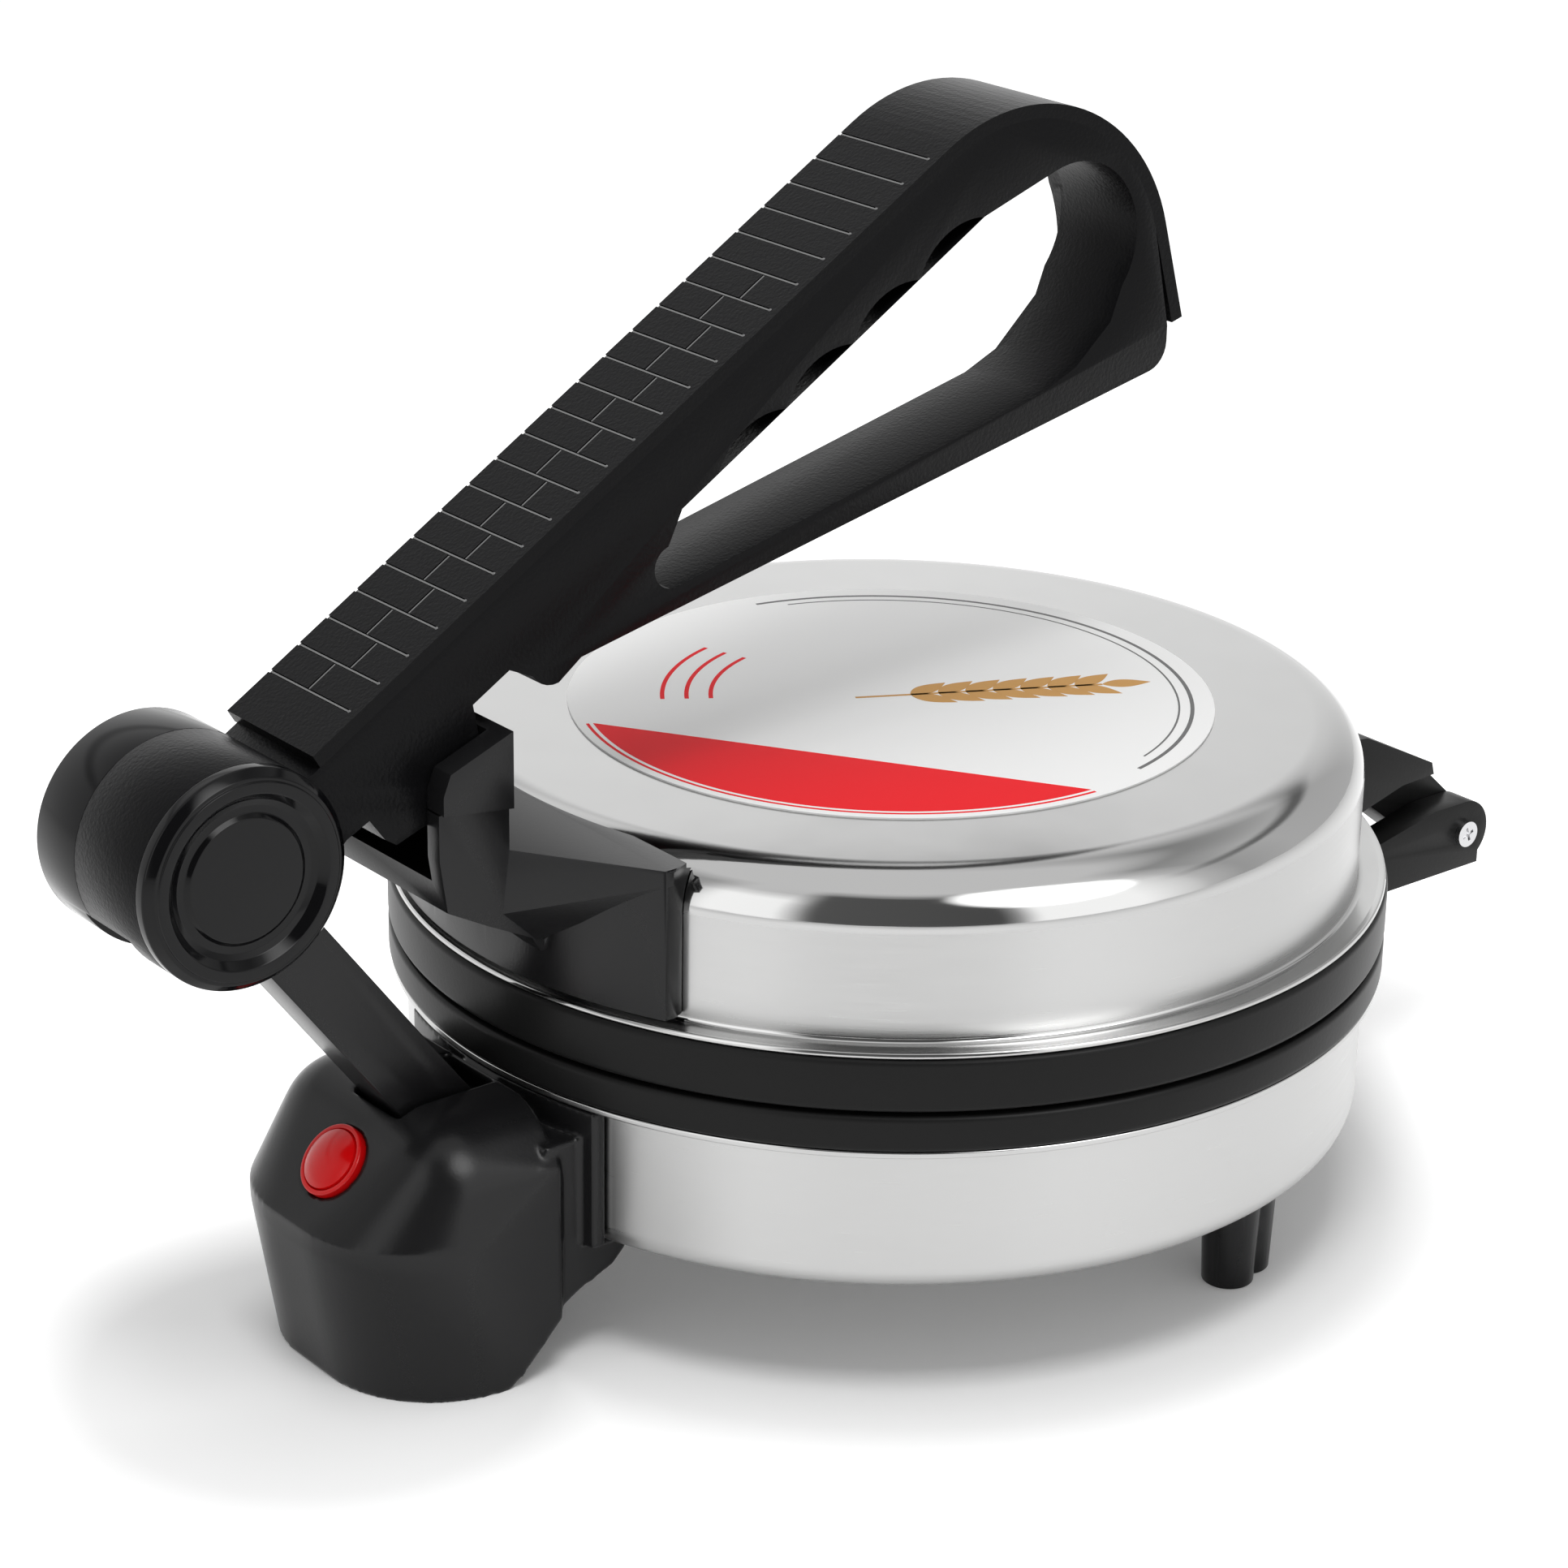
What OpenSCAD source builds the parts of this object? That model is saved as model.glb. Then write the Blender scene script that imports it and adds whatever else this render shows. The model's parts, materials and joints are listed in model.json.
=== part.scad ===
// Electric roti maker: a round base and a hinged lid, each with a heated plate,
// pressed together by a long front handle, a link and the base's front housing.
// Origin: on the table, under the middle of the whole length. Front is -Y, hinge at +Y.

/* [Pan and rings] */
// Height of the pan's bottom above the table
pan_lift = 30; // [26:1:34]
// Height of the pan from its bottom to its rim
pan_h = 38; // [36:1:42]
// Outer radius of the pan's wall
pan_r = 120.5; // [118:0.5:124]
// Radius of the pan's bottom corner
pan_corner = 6; // [4:1:9]
// Sheet thickness of the pan and the lid cover
sheet = 0.8; // [0.6:0.1:1]
// Overhang of both black rings beyond the pan's wall
ring_over = 4.5; // [4:0.5:6.5]
// Radial width of both black rings
ring_w = 12.7; // [11:0.1:13]
// Height of the lower ring
low_ring_h = 9; // [8:0.5:11]
// Height of the upper ring
up_ring_h = 13; // [12:0.5:15]
// Gap between the shut rings
parting = 1; // [0.8:0.1:1.4]

/* [Lid cover] */
// Height of the lid cover above the upper ring
lid_h = 40; // [36:1:42]
// Inset of the lid cover's wall from the rings' edge
lid_inset = 7.6; // [7:0.2:9]
// Width of the lid cover's rounded shoulder
shoulder_w = 13.4; // [10.4:1:19.4]
// Height of the lid cover's rounded shoulder
lid_shoulder_h = 13; // [10:1:18]
// Radius of the round badge on the lid
badge_r = 80; // [60:1:90]

/* [Heating plates] */
// Thickness of each plate
plate_t = 4.4; // [4:0.2:5]
// Radius of the tubular heater's ring
heater_r = 72; // [60:1:80]
// Radius of the heater tube
tube_r = 3.6; // [3:0.1:4]
// Thickness of the pressed heater clamps
clamp_t = 1.5; // [1:0.1:2]

/* [Handle] */
// Width of the handle
handle_w = 34; // [30:1:38]
// Slope of the handle's long top line, degrees
handle_slope = 31.6; // [30:0.2:33]
// Outer radius of the bend at the grip end
bend_r = 48; // [45:1:50]
// Thickness of the patterned top cover
cover_t = 3.5; // [3:0.1:4.5]
// Straight length of the top cover
cover_len = 209; // [190:1:210]
// Thickness of the loop's lower bar
bar_t = 4.6; // [4:0.2:7]
// Slope of the loop's lower bar, degrees
bar_slope = 13.5; // [12.5:0.1:14]
// Depth of the finger grooves
finger_depth = 4; // [2:0.2:5]
// Distance between the finger grooves
finger_pitch = 23.2; // [22:0.2:25]
// Number of finger grooves
fingers = 4; // [3:1:4]
// Distance between the cover's cross grooves
brick_pitch = 9.1; // [7:0.1:12]
// Width of a groove in the cover
groove_w = 0.9; // [0.6:0.1:1.4]
// Depth of a groove in the cover
groove_d = 0.5; // [0.3:0.1:0.8]

/* [Barrel and link] */
// Outer radius of the barrel
barrel_r = 25.5; // [24:0.5:27]
// Length of the barrel
barrel_len = 47; // [46:1:52]
// Wall thickness of the barrel
barrel_wall = 3; // [2.5:0.1:3.5]
// Width of the link, across the object
link_w = 17; // [14:0.5:18]
// Depth of the link, front to back
link_d = 16.5; // [14:0.5:17]
// Radius of the pivot pins
pin_r = 3; // [2.5:0.1:3.2]
// Radius of the link's loose upper eye
eye_r = 8.4; // [8.4:0.1:9]

/* [Front housing] */
// Half width of the housing
housing_hw = 37; // [36:0.5:38]
// Sideways place of the housing's middle
housing_x = -3; // [-4:0.5:0]
// Radius of the housing's front corners
corner_r = 30; // [24:1:32]
// Wall thickness of the housing
housing_wall = 2.6; // [2:0.1:3]
// Height of the housing's front edge
housing_edge_h = 41; // [38:1:44]
// Radius of the lamp's lens
lens_r = 9; // [7:0.5:10]

/* [Brackets] */
// Half width of the front bracket's tower
tower_hw = 24; // [23.5:0.5:28]
// Half width of the rear hinge
hinge_hw = 38; // [36:1:44]
// Radius of the hinge pin
hinge_pin_r = 3; // [2.5:0.1:3.5]

/* [Fits] */
// Running clearance of a pin in its bore, radial
pin_gap = 0.05; // [0.02:0.01:0.08]
// Clearance between neighbouring curved faces
seat_gap = 0.25; // [0.2:0.05:0.3]

/* [Hidden] */
$fn = 96;

// Radii of the stack, from the pan's wall
ring_r = pan_r + ring_over;
lid_r = ring_r - lid_inset;
lid_flat_r = lid_r - shoulder_w;
// Heights of the stack, from the table up
rim_z = pan_lift + pan_h;
part_z = rim_z + low_ring_h;
up_z = part_z + parting;
up_top = up_z + up_ring_h;
lid_top = up_top + lid_h;
// The plates' faces that meet the dough
low_face = part_z + 0.3;
up_face = up_z + 0.1;
low_back = low_face - plate_t;
up_back = up_face + plate_t;
ring_in = ring_r - ring_w;
plate_r = ring_in - 0.4;
ledge_r = ring_in - 8;
ledge_t = 2.6;
// Hinge axis of the lid
hinge_y = ring_r + 49;
hinge_z = part_z - 13;
// Radius of the hinge's ears
ear_r = 9;
// Pivot of the handle on the front bracket
pivot_y = -ring_r - 16;
pivot_z = up_top + 58;
// Axis of the barrel, from the handle's pivot
barrel_dy = -58.8;
barrel_dz = -8.7;
barrel_y = pivot_y + barrel_dy;
barrel_z = pivot_z + barrel_dz;
// Pivot of the link in the housing
link_y = -ring_r - 11;
link_z = pan_lift + 26;
link_len = norm([barrel_y - link_y, barrel_z - link_z]);
link_tilt = atan2(link_y - barrel_y, barrel_z - link_z);
// Loop of the handle, from the handle's pivot
bend_y = 165;
bend_z = 82.2;
lug_r = 7;
black = [0.05, 0.05, 0.055];
steel = [0.8, 0.8, 0.8];
alloy = [0.62, 0.62, 0.62];
zinc = [0.75, 0.75, 0.76];

// Length of a cut that passes right through a piece
through = 120;

// Middle of the whole length, from the front of the barrel to the back of the hinge
axis_y = -(barrel_y - barrel_r + hinge_y + ear_r) / 2;

// Puts the parts, drawn round the plates' axis, over the middle of the whole object
module in_place() {
    translate([0, axis_y, 0]) children();
}

// Points of an arc, anticlockwise from a to b, or clockwise when b is less than a
function arc(c, r, a, b, n) = [for (i = [0:n]) c + r * [cos(a + (b - a) * i / n), sin(a + (b - a) * i / n)]];

// A flat outline in the YZ plane, made w wide across X and centred on x
module side_plate(w, x = 0) {
    translate([x - w / 2, 0, 0]) rotate([90, 0, 90]) linear_extrude(w) children();
}

// A round bar along X, centred on x
module bar_x(r, w, y, z, x = 0) {
    translate([x - w / 2, y, z]) rotate([0, 90, 0]) cylinder(r = r, h = w);
}

// A pan-head screw that points along -Z, its head's underside at z = 0
module screw(head_r, head_h, shank_r, len) {
    difference() {
        cylinder(r = head_r, h = head_h, $fn = 32);
        for (a = [0, 90]) rotate(a) translate([-head_r * 0.6, -0.4, head_h * 0.5])
            cube([head_r * 1.2, 0.8, head_h]);
    }
    translate([0, 0, -len]) cylinder(r = shank_r, h = len + 0.01, $fn = 32);
}

// A screw from inside a thin round wall, its tip reach beyond the wall's outer face
side_screw_r = 1.8;
wall_seat = 0.1;
module side_screw(reach) {
    translate([-sheet - wall_seat, 0, 0]) rotate([0, -90, 0])
        screw(3.4, 2, side_screw_r, sheet + wall_seat + reach);
}

// The blind bore for it, depth deep from the wall's outer face
module side_bore(depth) {
    translate([-3, 0, 0]) rotate([0, 90, 0]) cylinder(r = side_screw_r + pin_gap, h = 3 + depth, $fn = 32);
}

// A hole of radius r through a thin wall
module wall_hole(r) {
    rotate([0, 90, 0]) cylinder(r = r, h = 14, center = true, $fn = 32);
}

// Places its children at n equal angles on a circle
module around(r, n, start = 0) {
    for (i = [0:n - 1]) rotate(start + i * 360 / n) translate([r, 0, 0]) children();
}

plate_screws = 4;
plate_screw_r = ledge_r + 4;
plate_screw_shank = 1.6;
centre_bolt_r = 3;
boss_r = 9;
heater_z_gap = 0.1;
clamp_low_z = low_back - 2 * tube_r - 2 * heater_z_gap - clamp_t;
clamp_up_z = up_back + 2 * tube_r + 2 * heater_z_gap;

// Steel pan with a rounded corner and a thin rolled rim
module base_pan() {
    color(steel) in_place() difference() {
        rotate_extrude($fn = 180) difference() {
            union() {
                translate([0, pan_lift]) square([pan_r - pan_corner, pan_h]);
                translate([0, pan_lift + pan_corner]) square([pan_r, pan_h - pan_corner]);
                translate([pan_r - pan_corner, pan_lift + pan_corner]) circle(pan_corner);
                translate([0, rim_z - sheet]) square([ring_r - 1.2, sheet]);
                translate([ring_r - 1.2, rim_z - 0.8]) circle(0.8, $fn = 24);
            }
            translate([0, pan_lift + sheet]) square([pan_r - pan_corner, pan_h]);
            translate([0, pan_lift + pan_corner]) square([pan_r - sheet, pan_h]);
            translate([pan_r - pan_corner, pan_lift + pan_corner]) circle(pan_corner - sheet);
        }
        translate([0, 0, pan_lift - 1]) cylinder(r = centre_bolt_r + 0.3, h = sheet + 2);
        foot_places() translate([0, 0, pan_lift - 1])
            cylinder(r = foot_screw_r + 0.2, h = sheet + 2, $fn = 32);
        housing_screw_places() wall_hole(side_screw_r + 0.2);
        base_hinge_places() wall_hole(side_screw_r + 0.2);
        wire_hole();
    }
}

// Hole for the wires between the housing and the pan
wire_hole_z = pan_lift + 14;
module wire_hole() {
    translate([-14, -pan_r + 4, wire_hole_z]) rotate([90, 0, 0]) cylinder(r = 5, h = 10);
}

ring_round = 1.5;
// Section shared by both rings: flat at the parting, ledge for the plate, round outer edges
module ring_section(h, ledge_z) {
    translate([ring_in, 0]) square([ring_w - ring_round, h]);
    translate([ring_in, ring_round]) square([ring_w, h - 2 * ring_round]);
    for (z = [ring_round, h - ring_round]) translate([ring_r - ring_round, z]) circle(ring_round, $fn = 32);
    translate([ledge_r, ledge_z]) square([ring_in - ledge_r + 1, ledge_t]);
}

// Black lower ring on the pan's rim
module base_ring() {
    color(black) in_place() difference() {
        translate([0, 0, rim_z]) rotate_extrude($fn = 180) union() {
            ring_section(low_ring_h, low_back - rim_z - ledge_t);
            translate([pan_r - sheet - seat_gap - 2, -5]) square([2, 6]);
        }
        around(plate_screw_r, plate_screws, 45) translate([0, 0, rim_z - 8])
            cylinder(r = plate_screw_shank + 0.2, h = 20, $fn = 32);
    }
}

// Cast plate: flat face at z = 0, body and boss towards -Z
module plate() {
    difference() {
        union() {
            rotate_extrude($fn = 180) polygon([[0, 0], [plate_r - 3, 0], [plate_r, -1.2], [plate_r, -plate_t],
                [0, -plate_t]]);
            translate([0, 0, -plate_t - 9]) cylinder(r = boss_r, h = 9.01);
        }
        translate([0, 0, -plate_t - 10]) cylinder(r = centre_bolt_r + pin_gap, h = 10);
        around(plate_screw_r, plate_screws, 45) translate([0, 0, -plate_t - 1])
            cylinder(r = plate_screw_shank + pin_gap, h = 1 + 3, $fn = 32);
    }
}

module lower_plate() {
    color(alloy) in_place() translate([0, 0, low_face]) plate();
}

// Tubular heater: most of a ring, with its two cold ends turned away from the plate
module heater() {
    rotate([0, 0, 15]) rotate_extrude(angle = 330) translate([heater_r, 0]) circle(tube_r, $fn = 32);
    for (a = [15, 345]) rotate(a) translate([heater_r, 0, 0]) {
        sphere(tube_r, $fn = 32);
        translate([0, 0, -14]) cylinder(r = tube_r, h = 14, $fn = 32);
        translate([0, 0, -20]) cylinder(r = 1.2, h = 6.01, $fn = 24);
    }
}

module lower_heater() {
    color([0.3, 0.3, 0.32]) in_place() translate([0, 0, low_back - tube_r - heater_z_gap]) rotate(90)
        heater();
}

// Pressed spider that holds a heater against its plate, flat at z = 0 and clamp_t thick
module heater_clamp() {
    difference() {
        union() {
            difference() {
                cylinder(r = heater_r + 6, h = clamp_t, $fn = 120);
                translate([0, 0, -1]) cylinder(r = heater_r - 6, h = clamp_t + 2, $fn = 120);
            }
            for (a = [0, 120, 240]) rotate(a) translate([0, -8, 0]) cube([heater_r, 16, clamp_t]);
            cylinder(r = boss_r + 8, h = clamp_t);
        }
        translate([0, 0, -1]) cylinder(r = boss_r + seat_gap, h = clamp_t + 2);
        for (a = [15, 345]) rotate(a + 90) translate([heater_r, 0, -1])
            cylinder(r = tube_r + 1, h = clamp_t + 2, $fn = 32);
    }
}

module lower_heater_clamp() {
    color(zinc) in_place() translate([0, 0, clamp_low_z]) heater_clamp();
}

// Snap-disc thermostat: a cup with a flange and two flat tags
thermo_x = 36;
module thermostat() {
    translate([0, 0, -1.2]) linear_extrude(1.2) hull() {
        translate([-11, 0]) circle(3.5, $fn = 32);
        translate([11, 0]) circle(3.5, $fn = 32);
        circle(8.5, $fn = 48);
    }
    translate([0, 0, -8]) cylinder(r = 7, h = 7, $fn = 48);
    for (x = [-4, 3.2]) translate([x, -3, -14]) cube([0.8, 6, 6.01]);
}

module lower_thermostat() {
    color([0.9, 0.88, 0.8]) in_place() rotate(30) translate([thermo_x, 0, low_back]) thermostat();
}

module lower_plate_screws() {
    color(zinc) in_place() around(plate_screw_r, plate_screws, 45) translate([0, 0, low_back - ledge_t])
        mirror([0, 0, 1])
        screw(3, 2, plate_screw_shank, ledge_t + 2.6);
}

// Tube between the clamp and the pan's bottom, round the centre bolt
spacer_top = low_back - 9;
module base_spacer() {
    color(zinc) in_place() translate([0, 0, pan_lift + sheet]) difference() {
        cylinder(r = boss_r - 1, h = spacer_top - pan_lift - sheet);
        translate([0, 0, -1]) cylinder(r = centre_bolt_r + 0.3, h = pan_h);
    }
}

module base_centre_bolt() {
    color(zinc) in_place() union() {
        translate([0, 0, pan_lift - 4]) cylinder(r = 5.8, h = 4, $fn = 6);
        translate([0, 0, pan_lift - 1]) cylinder(r = centre_bolt_r, h = low_back - 2 - pan_lift + 1);
    }
}

// Front housing: a rounded column, a little left of the middle, under a convex sloping top
corner_y = -ring_r - 46 + corner_r;
corner_x = housing_hw - corner_r;
edge_y = corner_y - 5;
edge_grow = 1.4;
crest_r = 18;
crest_x = 18.5;
crest_y = -ring_r - 21;
crest_z = rim_z - 1.2 - crest_r;
housing_back_y = -ring_r - 1.5;
back_top_z = housing_edge_h + 13;
module housing_form(inset) {
    hull() {
        for (s = [-1, 1]) {
            translate([housing_x + s * corner_x, corner_y, 0])
                cylinder(r = corner_r - inset, h = 1, $fn = 64);
            translate([housing_x + s * corner_x, edge_y, housing_edge_h - 4])
                cylinder(r = corner_r + edge_grow - inset, h = 4 - inset * 0.4, $fn = 64);
            translate([housing_x + s * crest_x, crest_y, crest_z]) sphere(crest_r - inset, $fn = 40);
            translate([housing_x + s * crest_x, housing_back_y - 1, crest_z]) rotate([90, 0, 0])
                cylinder(r = crest_r - inset, h = 2, center = true, $fn = 40);
        }
        translate([housing_x - housing_hw - 1 + inset, housing_back_y - 2, 0])
            cube([2 * housing_hw + 2 - 2 * inset, 2, back_top_z - inset]);
    }
}

// Plan of the column at the table, inset from its outside and straight at the back
module housing_plan(inset, back_y) {
    intersection() {
        union() {
            for (s = [-1, 1]) translate([housing_x + s * corner_x, corner_y]) circle(corner_r - inset);
            translate([housing_x - corner_x, corner_y - corner_r + inset]) square([2 * corner_x, corner_r]);
            translate([housing_x - housing_hw + inset, corner_y]) square([2 * housing_hw - 2 * inset, 50]);
        }
        translate([-100, -300]) square([200, 300 + back_y]);
    }
}

// The lamp sits on the line that rises from the front edge to the rounded crest
front_edge = [edge_y - corner_r - edge_grow, housing_edge_h];
to_crest = [crest_y, crest_z] - front_edge;
slope_angle = atan2(to_crest[1], to_crest[0]) + asin(crest_r / norm(to_crest));
lamp_up = 17;
lamp_y = front_edge[0] + lamp_up * cos(slope_angle);
lamp_z = front_edge[1] + lamp_up * sin(slope_angle);
lens_step = 1.2;
module at_lamp() {
    translate([0, lamp_y, lamp_z]) rotate([slope_angle, 0, 0]) children();
}

// Screws through the pan's wall into the housing's flange
flange_hw = 37;
flange_t = 3.4;
flange_z = pan_lift + 1;
flange_h = rim_z - 2 - flange_z;
flange_screw_x = 33.6;
// Distance of the screws from the flange's top and bottom, clear of the pan's corner
flange_screw_in = 8;
flange_screw_a = asin(flange_screw_x / pan_r);
module housing_screw_places() {
    for (s = [-1, 1], z = [flange_z + flange_screw_in, flange_z + flange_h - flange_screw_in])
        rotate(-90 + s * flange_screw_a) translate([pan_r, 0, z]) children();
}

link_slot_hw = link_w / 2 + 0.9;
link_slot_front = link_y - 18;
link_slot_back = link_y + 9;
lug_in = link_w / 2 + 0.3;
lug_t = 2.6;
neck_hw = 33;
// Sweep of the lower back edge, up to the pan's bottom: distance behind under_y, height
under_y = corner_y;
sweep = [[0.5, 0], [2.8, 1.8], [7.4, 6.7], [12, 11.5], [17, 16.4], [22, 19.2], [26.4, 20.8], [31, 22.6],
    [34.5, 26]];
sweep_split = 3;
module front_housing() {
    color(black) in_place() difference() {
        union() {
            difference() {
                housing_form(0);
                translate([0, 0, -0.01]) housing_form(housing_wall);
                translate([0, 0, -1]) linear_extrude(6) housing_plan(housing_wall, housing_back_y - 8);
            }
            intersection() {
                housing_form(0.4);
                union() {
                    for (s = [-1, 1]) side_plate(lug_t, s * (lug_in + lug_t / 2))
                        translate([link_y - 8, link_z - 8]) square([19, 30]);
                    for (s = [-1, 1]) translate([housing_x + s * cover_boss_x, cover_boss_y, 4])
                        cylinder(r = 4, h = 12);
                }
            }
            // neck between the column and the pan's wall
            difference() {
                translate([-neck_hw, housing_back_y - 3, 20]) cube([2 * neck_hw, 14, crest_z + 10 - 20]);
                translate([-neck_hw + housing_wall, housing_back_y - 6, pan_lift + 3])
                    cube([2 * (neck_hw - housing_wall), 30, crest_z + 7.4 - pan_lift - 3]);
            }
            // flange that hugs the pan's wall
            intersection() {
                translate([0, 0, flange_z]) cylinder(r = pan_r + 0.3 + flange_t, h = flange_h, $fn = 180);
                translate([-flange_hw, -150, 0]) cube([2 * flange_hw, 80, 100]);
            }
            // lip that sweeps up from the column to the pan's bottom
            side_plate(2 * neck_hw) polygon(concat(
                [[under_y + 36, pan_lift - 0.3], [housing_back_y - 2.5, pan_lift - 0.3]],
                [for (i = [sweep_split:len(sweep) - 1]) [under_y + sweep[i][0], sweep[i][1]]]));
        }
        // lower back edge of the column, cut to a concave sweep
        side_plate(through) polygon(concat(
            [[under_y + 40, -1], [under_y, -1]],
            [for (i = [0:sweep_split + 1]) [under_y + sweep[i][0], sweep[i][1]]],
            [[under_y + 40, sweep[sweep_split + 1][1]]]));
        // the pan, its rim and the ring above
        translate([0, 0, pan_lift - 0.3]) cylinder(r = pan_r + 0.3, h = 100, $fn = 180);
        translate([0, 0, rim_z - 1.9]) cylinder(r = ring_r + 0.4, h = 40, $fn = 180);
        // slot for the link
        translate([-link_slot_hw, link_slot_front, link_z - 4])
            cube([2 * link_slot_hw, link_slot_back - link_slot_front, 40]);
        bar_x(pin_r - 0.5 + pin_gap, 2 * (lug_in + lug_t) + 8, link_y, link_z);
        at_lamp() {
            translate([0, 0, -lens_step]) cylinder(r = lens_r + 0.2, h = 10, $fn = 64);
            translate([0, 0, -15]) cylinder(r = lens_r - 1.5, h = 20, $fn = 64);
        }
        for (s = [-1, 1]) translate([housing_x + s * cover_boss_x, cover_boss_y, -1])
            cylinder(r = 1.3, h = 16, $fn = 32);
        housing_screw_places() side_bore(2.8);
        cord_hole();
        translate([-14, -pan_r - 30, wire_hole_z]) rotate([-90, 0, 0]) cylinder(r = 5, h = 40);
    }
}

cover_boss_x = housing_hw - housing_wall - 3.8;
cover_boss_y = corner_y - 4;
cover_plate_t = 2;
cover_back_y = corner_y + 2.5;
module housing_bottom_cover() {
    color(black) in_place() difference() {
        translate([0, 0, 2]) linear_extrude(cover_plate_t) housing_plan(housing_wall + 0.3, cover_back_y);
        for (s = [-1, 1]) translate([housing_x + s * cover_boss_x, cover_boss_y, -1])
            cylinder(r = 1.6, h = 8, $fn = 32);
        for (i = [-2:2]) translate([housing_x + i * 8 - 1.2, corner_y - 16, 0]) cube([2.4, 20, 8]);
    }
}

module housing_cover_screws() {
    color(zinc) in_place() for (s = [-1, 1]) translate([housing_x + s * cover_boss_x, cover_boss_y, 2])
        mirror([0, 0, 1])
        screw(2.9, 1.6, 1.25, 11);
}

module housing_flange_screws() {
    color(zinc) in_place() housing_screw_places() side_screw(2.4);
}

// Red lens: a low dome on a flange, with a short skirt through the housing
module lamp_lens() {
    color([0.85, 0.05, 0.03]) in_place() at_lamp() rotate_extrude($fn = 64) union() {
        translate([0, -lens_step]) square([lens_r, lens_step + 0.6]);
        translate([0, -3.6]) square([lens_r - 1.7, 3]);
        intersection() {
            translate([0, -12.4]) circle(16, $fn = 96);
            square([lens_r - 1, 10]);
        }
    }
}

module lamp_body() {
    color([0.92, 0.9, 0.85]) in_place() at_lamp() {
        translate([0, 0, -15]) cylinder(r = 5.5, h = 11.3, $fn = 48);
        for (x = [-3, 2.2]) translate([x, -2, -20]) cube([0.8, 4, 5.01]);
    }
}

// Porcelain block with three wire clamps, on the bottom cover
module terminal_block() {
    color([0.93, 0.92, 0.88]) in_place() translate([housing_x - 15, corner_y - 10, 4]) difference() {
        cube([30, 12, 11]);
        for (i = [0:2]) translate([5 + i * 10, 6, 4]) cylinder(r = 2, h = 10, $fn = 32);
        for (i = [0:2]) translate([5 + i * 10, -1, 5]) rotate([-90, 0, 0])
            cylinder(r = 1.6, h = 20, $fn = 32);
    }
}

inlet_z = 26;
inlet_y = corner_y + 4;
inlet_r = 5;
module cord_hole() {
    translate([housing_x - housing_hw - 6, inlet_y, inlet_z]) rotate([0, 90, 0]) {
        cylinder(r = inlet_r, h = 12, $fn = 48);
        cylinder(r = inlet_r + 2.2, h = 5.6, $fn = 48);
    }
}

// Grommet where the mains lead enters, with its bore open
module cord_inlet_bush() {
    color([0.1, 0.1, 0.1]) in_place() translate([housing_x - housing_hw - 2, inlet_y, inlet_z])
        rotate([0, 90, 0]) difference() {
        union() {
            cylinder(r = inlet_r + 2, h = 1.6, $fn = 48);
            cylinder(r = inlet_r - 0.1, h = 8, $fn = 48);
        }
        translate([0, 0, -1]) cylinder(r = 3.4, h = 12, $fn = 48);
    }
}

module link_base_pin() {
    color(zinc) in_place() bar_x(pin_r - 0.5, 2 * (lug_in + lug_t) + 1, link_y, link_z);
}

foot_screw_r = 2;
foot_r = pan_r - 19;
foot_angle = 20.5;
foot_lobe = 4.5;
module foot_places() {
    for (s = [0, 1]) mirror([s, 0, 0]) rotate(foot_angle) translate([foot_r, 0, 0]) children();
}

// Two feet, each of two tapered lobes
module rear_feet() {
    color(black) in_place() foot_places() difference() {
        union() for (s = [-1, 1]) translate([0, s * foot_lobe, 0])
            cylinder(r1 = 6.4, r2 = 7.6, h = pan_lift, $fn = 48);
        translate([0, 0, -1]) cylinder(r = 4.4, h = pan_lift - 7, $fn = 48);
        translate([0, 0, 5]) cylinder(r = foot_screw_r + pin_gap, h = pan_lift, $fn = 32);
    }
}

module rear_foot_screws() {
    color(zinc) in_place() foot_places() translate([0, 0, pan_lift - 8]) mirror([0, 0, 1])
        screw(3.8, 2.2, foot_screw_r, 8 + sheet + 3);
}

// Base half of the hinge: a pad on the pan, a floor plate and two ears
ear_t = 9;
ear_gap = 0.4;
hinge_floor_z = hinge_z - 10;
base_hinge_x = 24;
base_hinge_a = asin(base_hinge_x / pan_r);
module base_hinge_places() {
    for (s = [-1, 1]) rotate(90 + s * base_hinge_a) translate([pan_r, 0, hinge_floor_z + 5]) children();
}

module base_hinge_bracket() {
    color(black) in_place() difference() {
        union() {
            translate([-hinge_hw, pan_r - 10, hinge_floor_z])
                cube([2 * hinge_hw, 16, rim_z - 2.2 - hinge_floor_z]);
            translate([-hinge_hw, pan_r - 10, hinge_floor_z]) cube([2 * hinge_hw, hinge_y - pan_r, 3.5]);
            for (s = [-1, 1]) side_plate(ear_t, s * (hinge_hw - ear_t / 2)) union() {
                translate([hinge_y, hinge_z]) circle(ear_r);
                translate([hinge_y - 6, hinge_floor_z]) square([12.2, 10]);
                polygon([[pan_r + 2, hinge_floor_z], [hinge_y, hinge_floor_z], [hinge_y, hinge_z + ear_r],
                    [hinge_y - 12, hinge_z + ear_r], [pan_r + 5.5, rim_z - 2.2], [pan_r + 2, rim_z - 2.2]]);
            }
        }
        cylinder(r = pan_r + 0.3, h = through, $fn = 180);
        translate([0, 0, rim_z - 2]) cylinder(r = ring_r + 0.6, h = 80, $fn = 180);
        bar_x(hinge_pin_r + pin_gap, through, hinge_y, hinge_z);
        base_hinge_places() side_bore(4.8);
    }
}

module base_hinge_screws() {
    color(zinc) in_place() base_hinge_places() side_screw(4.4);
}

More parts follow.
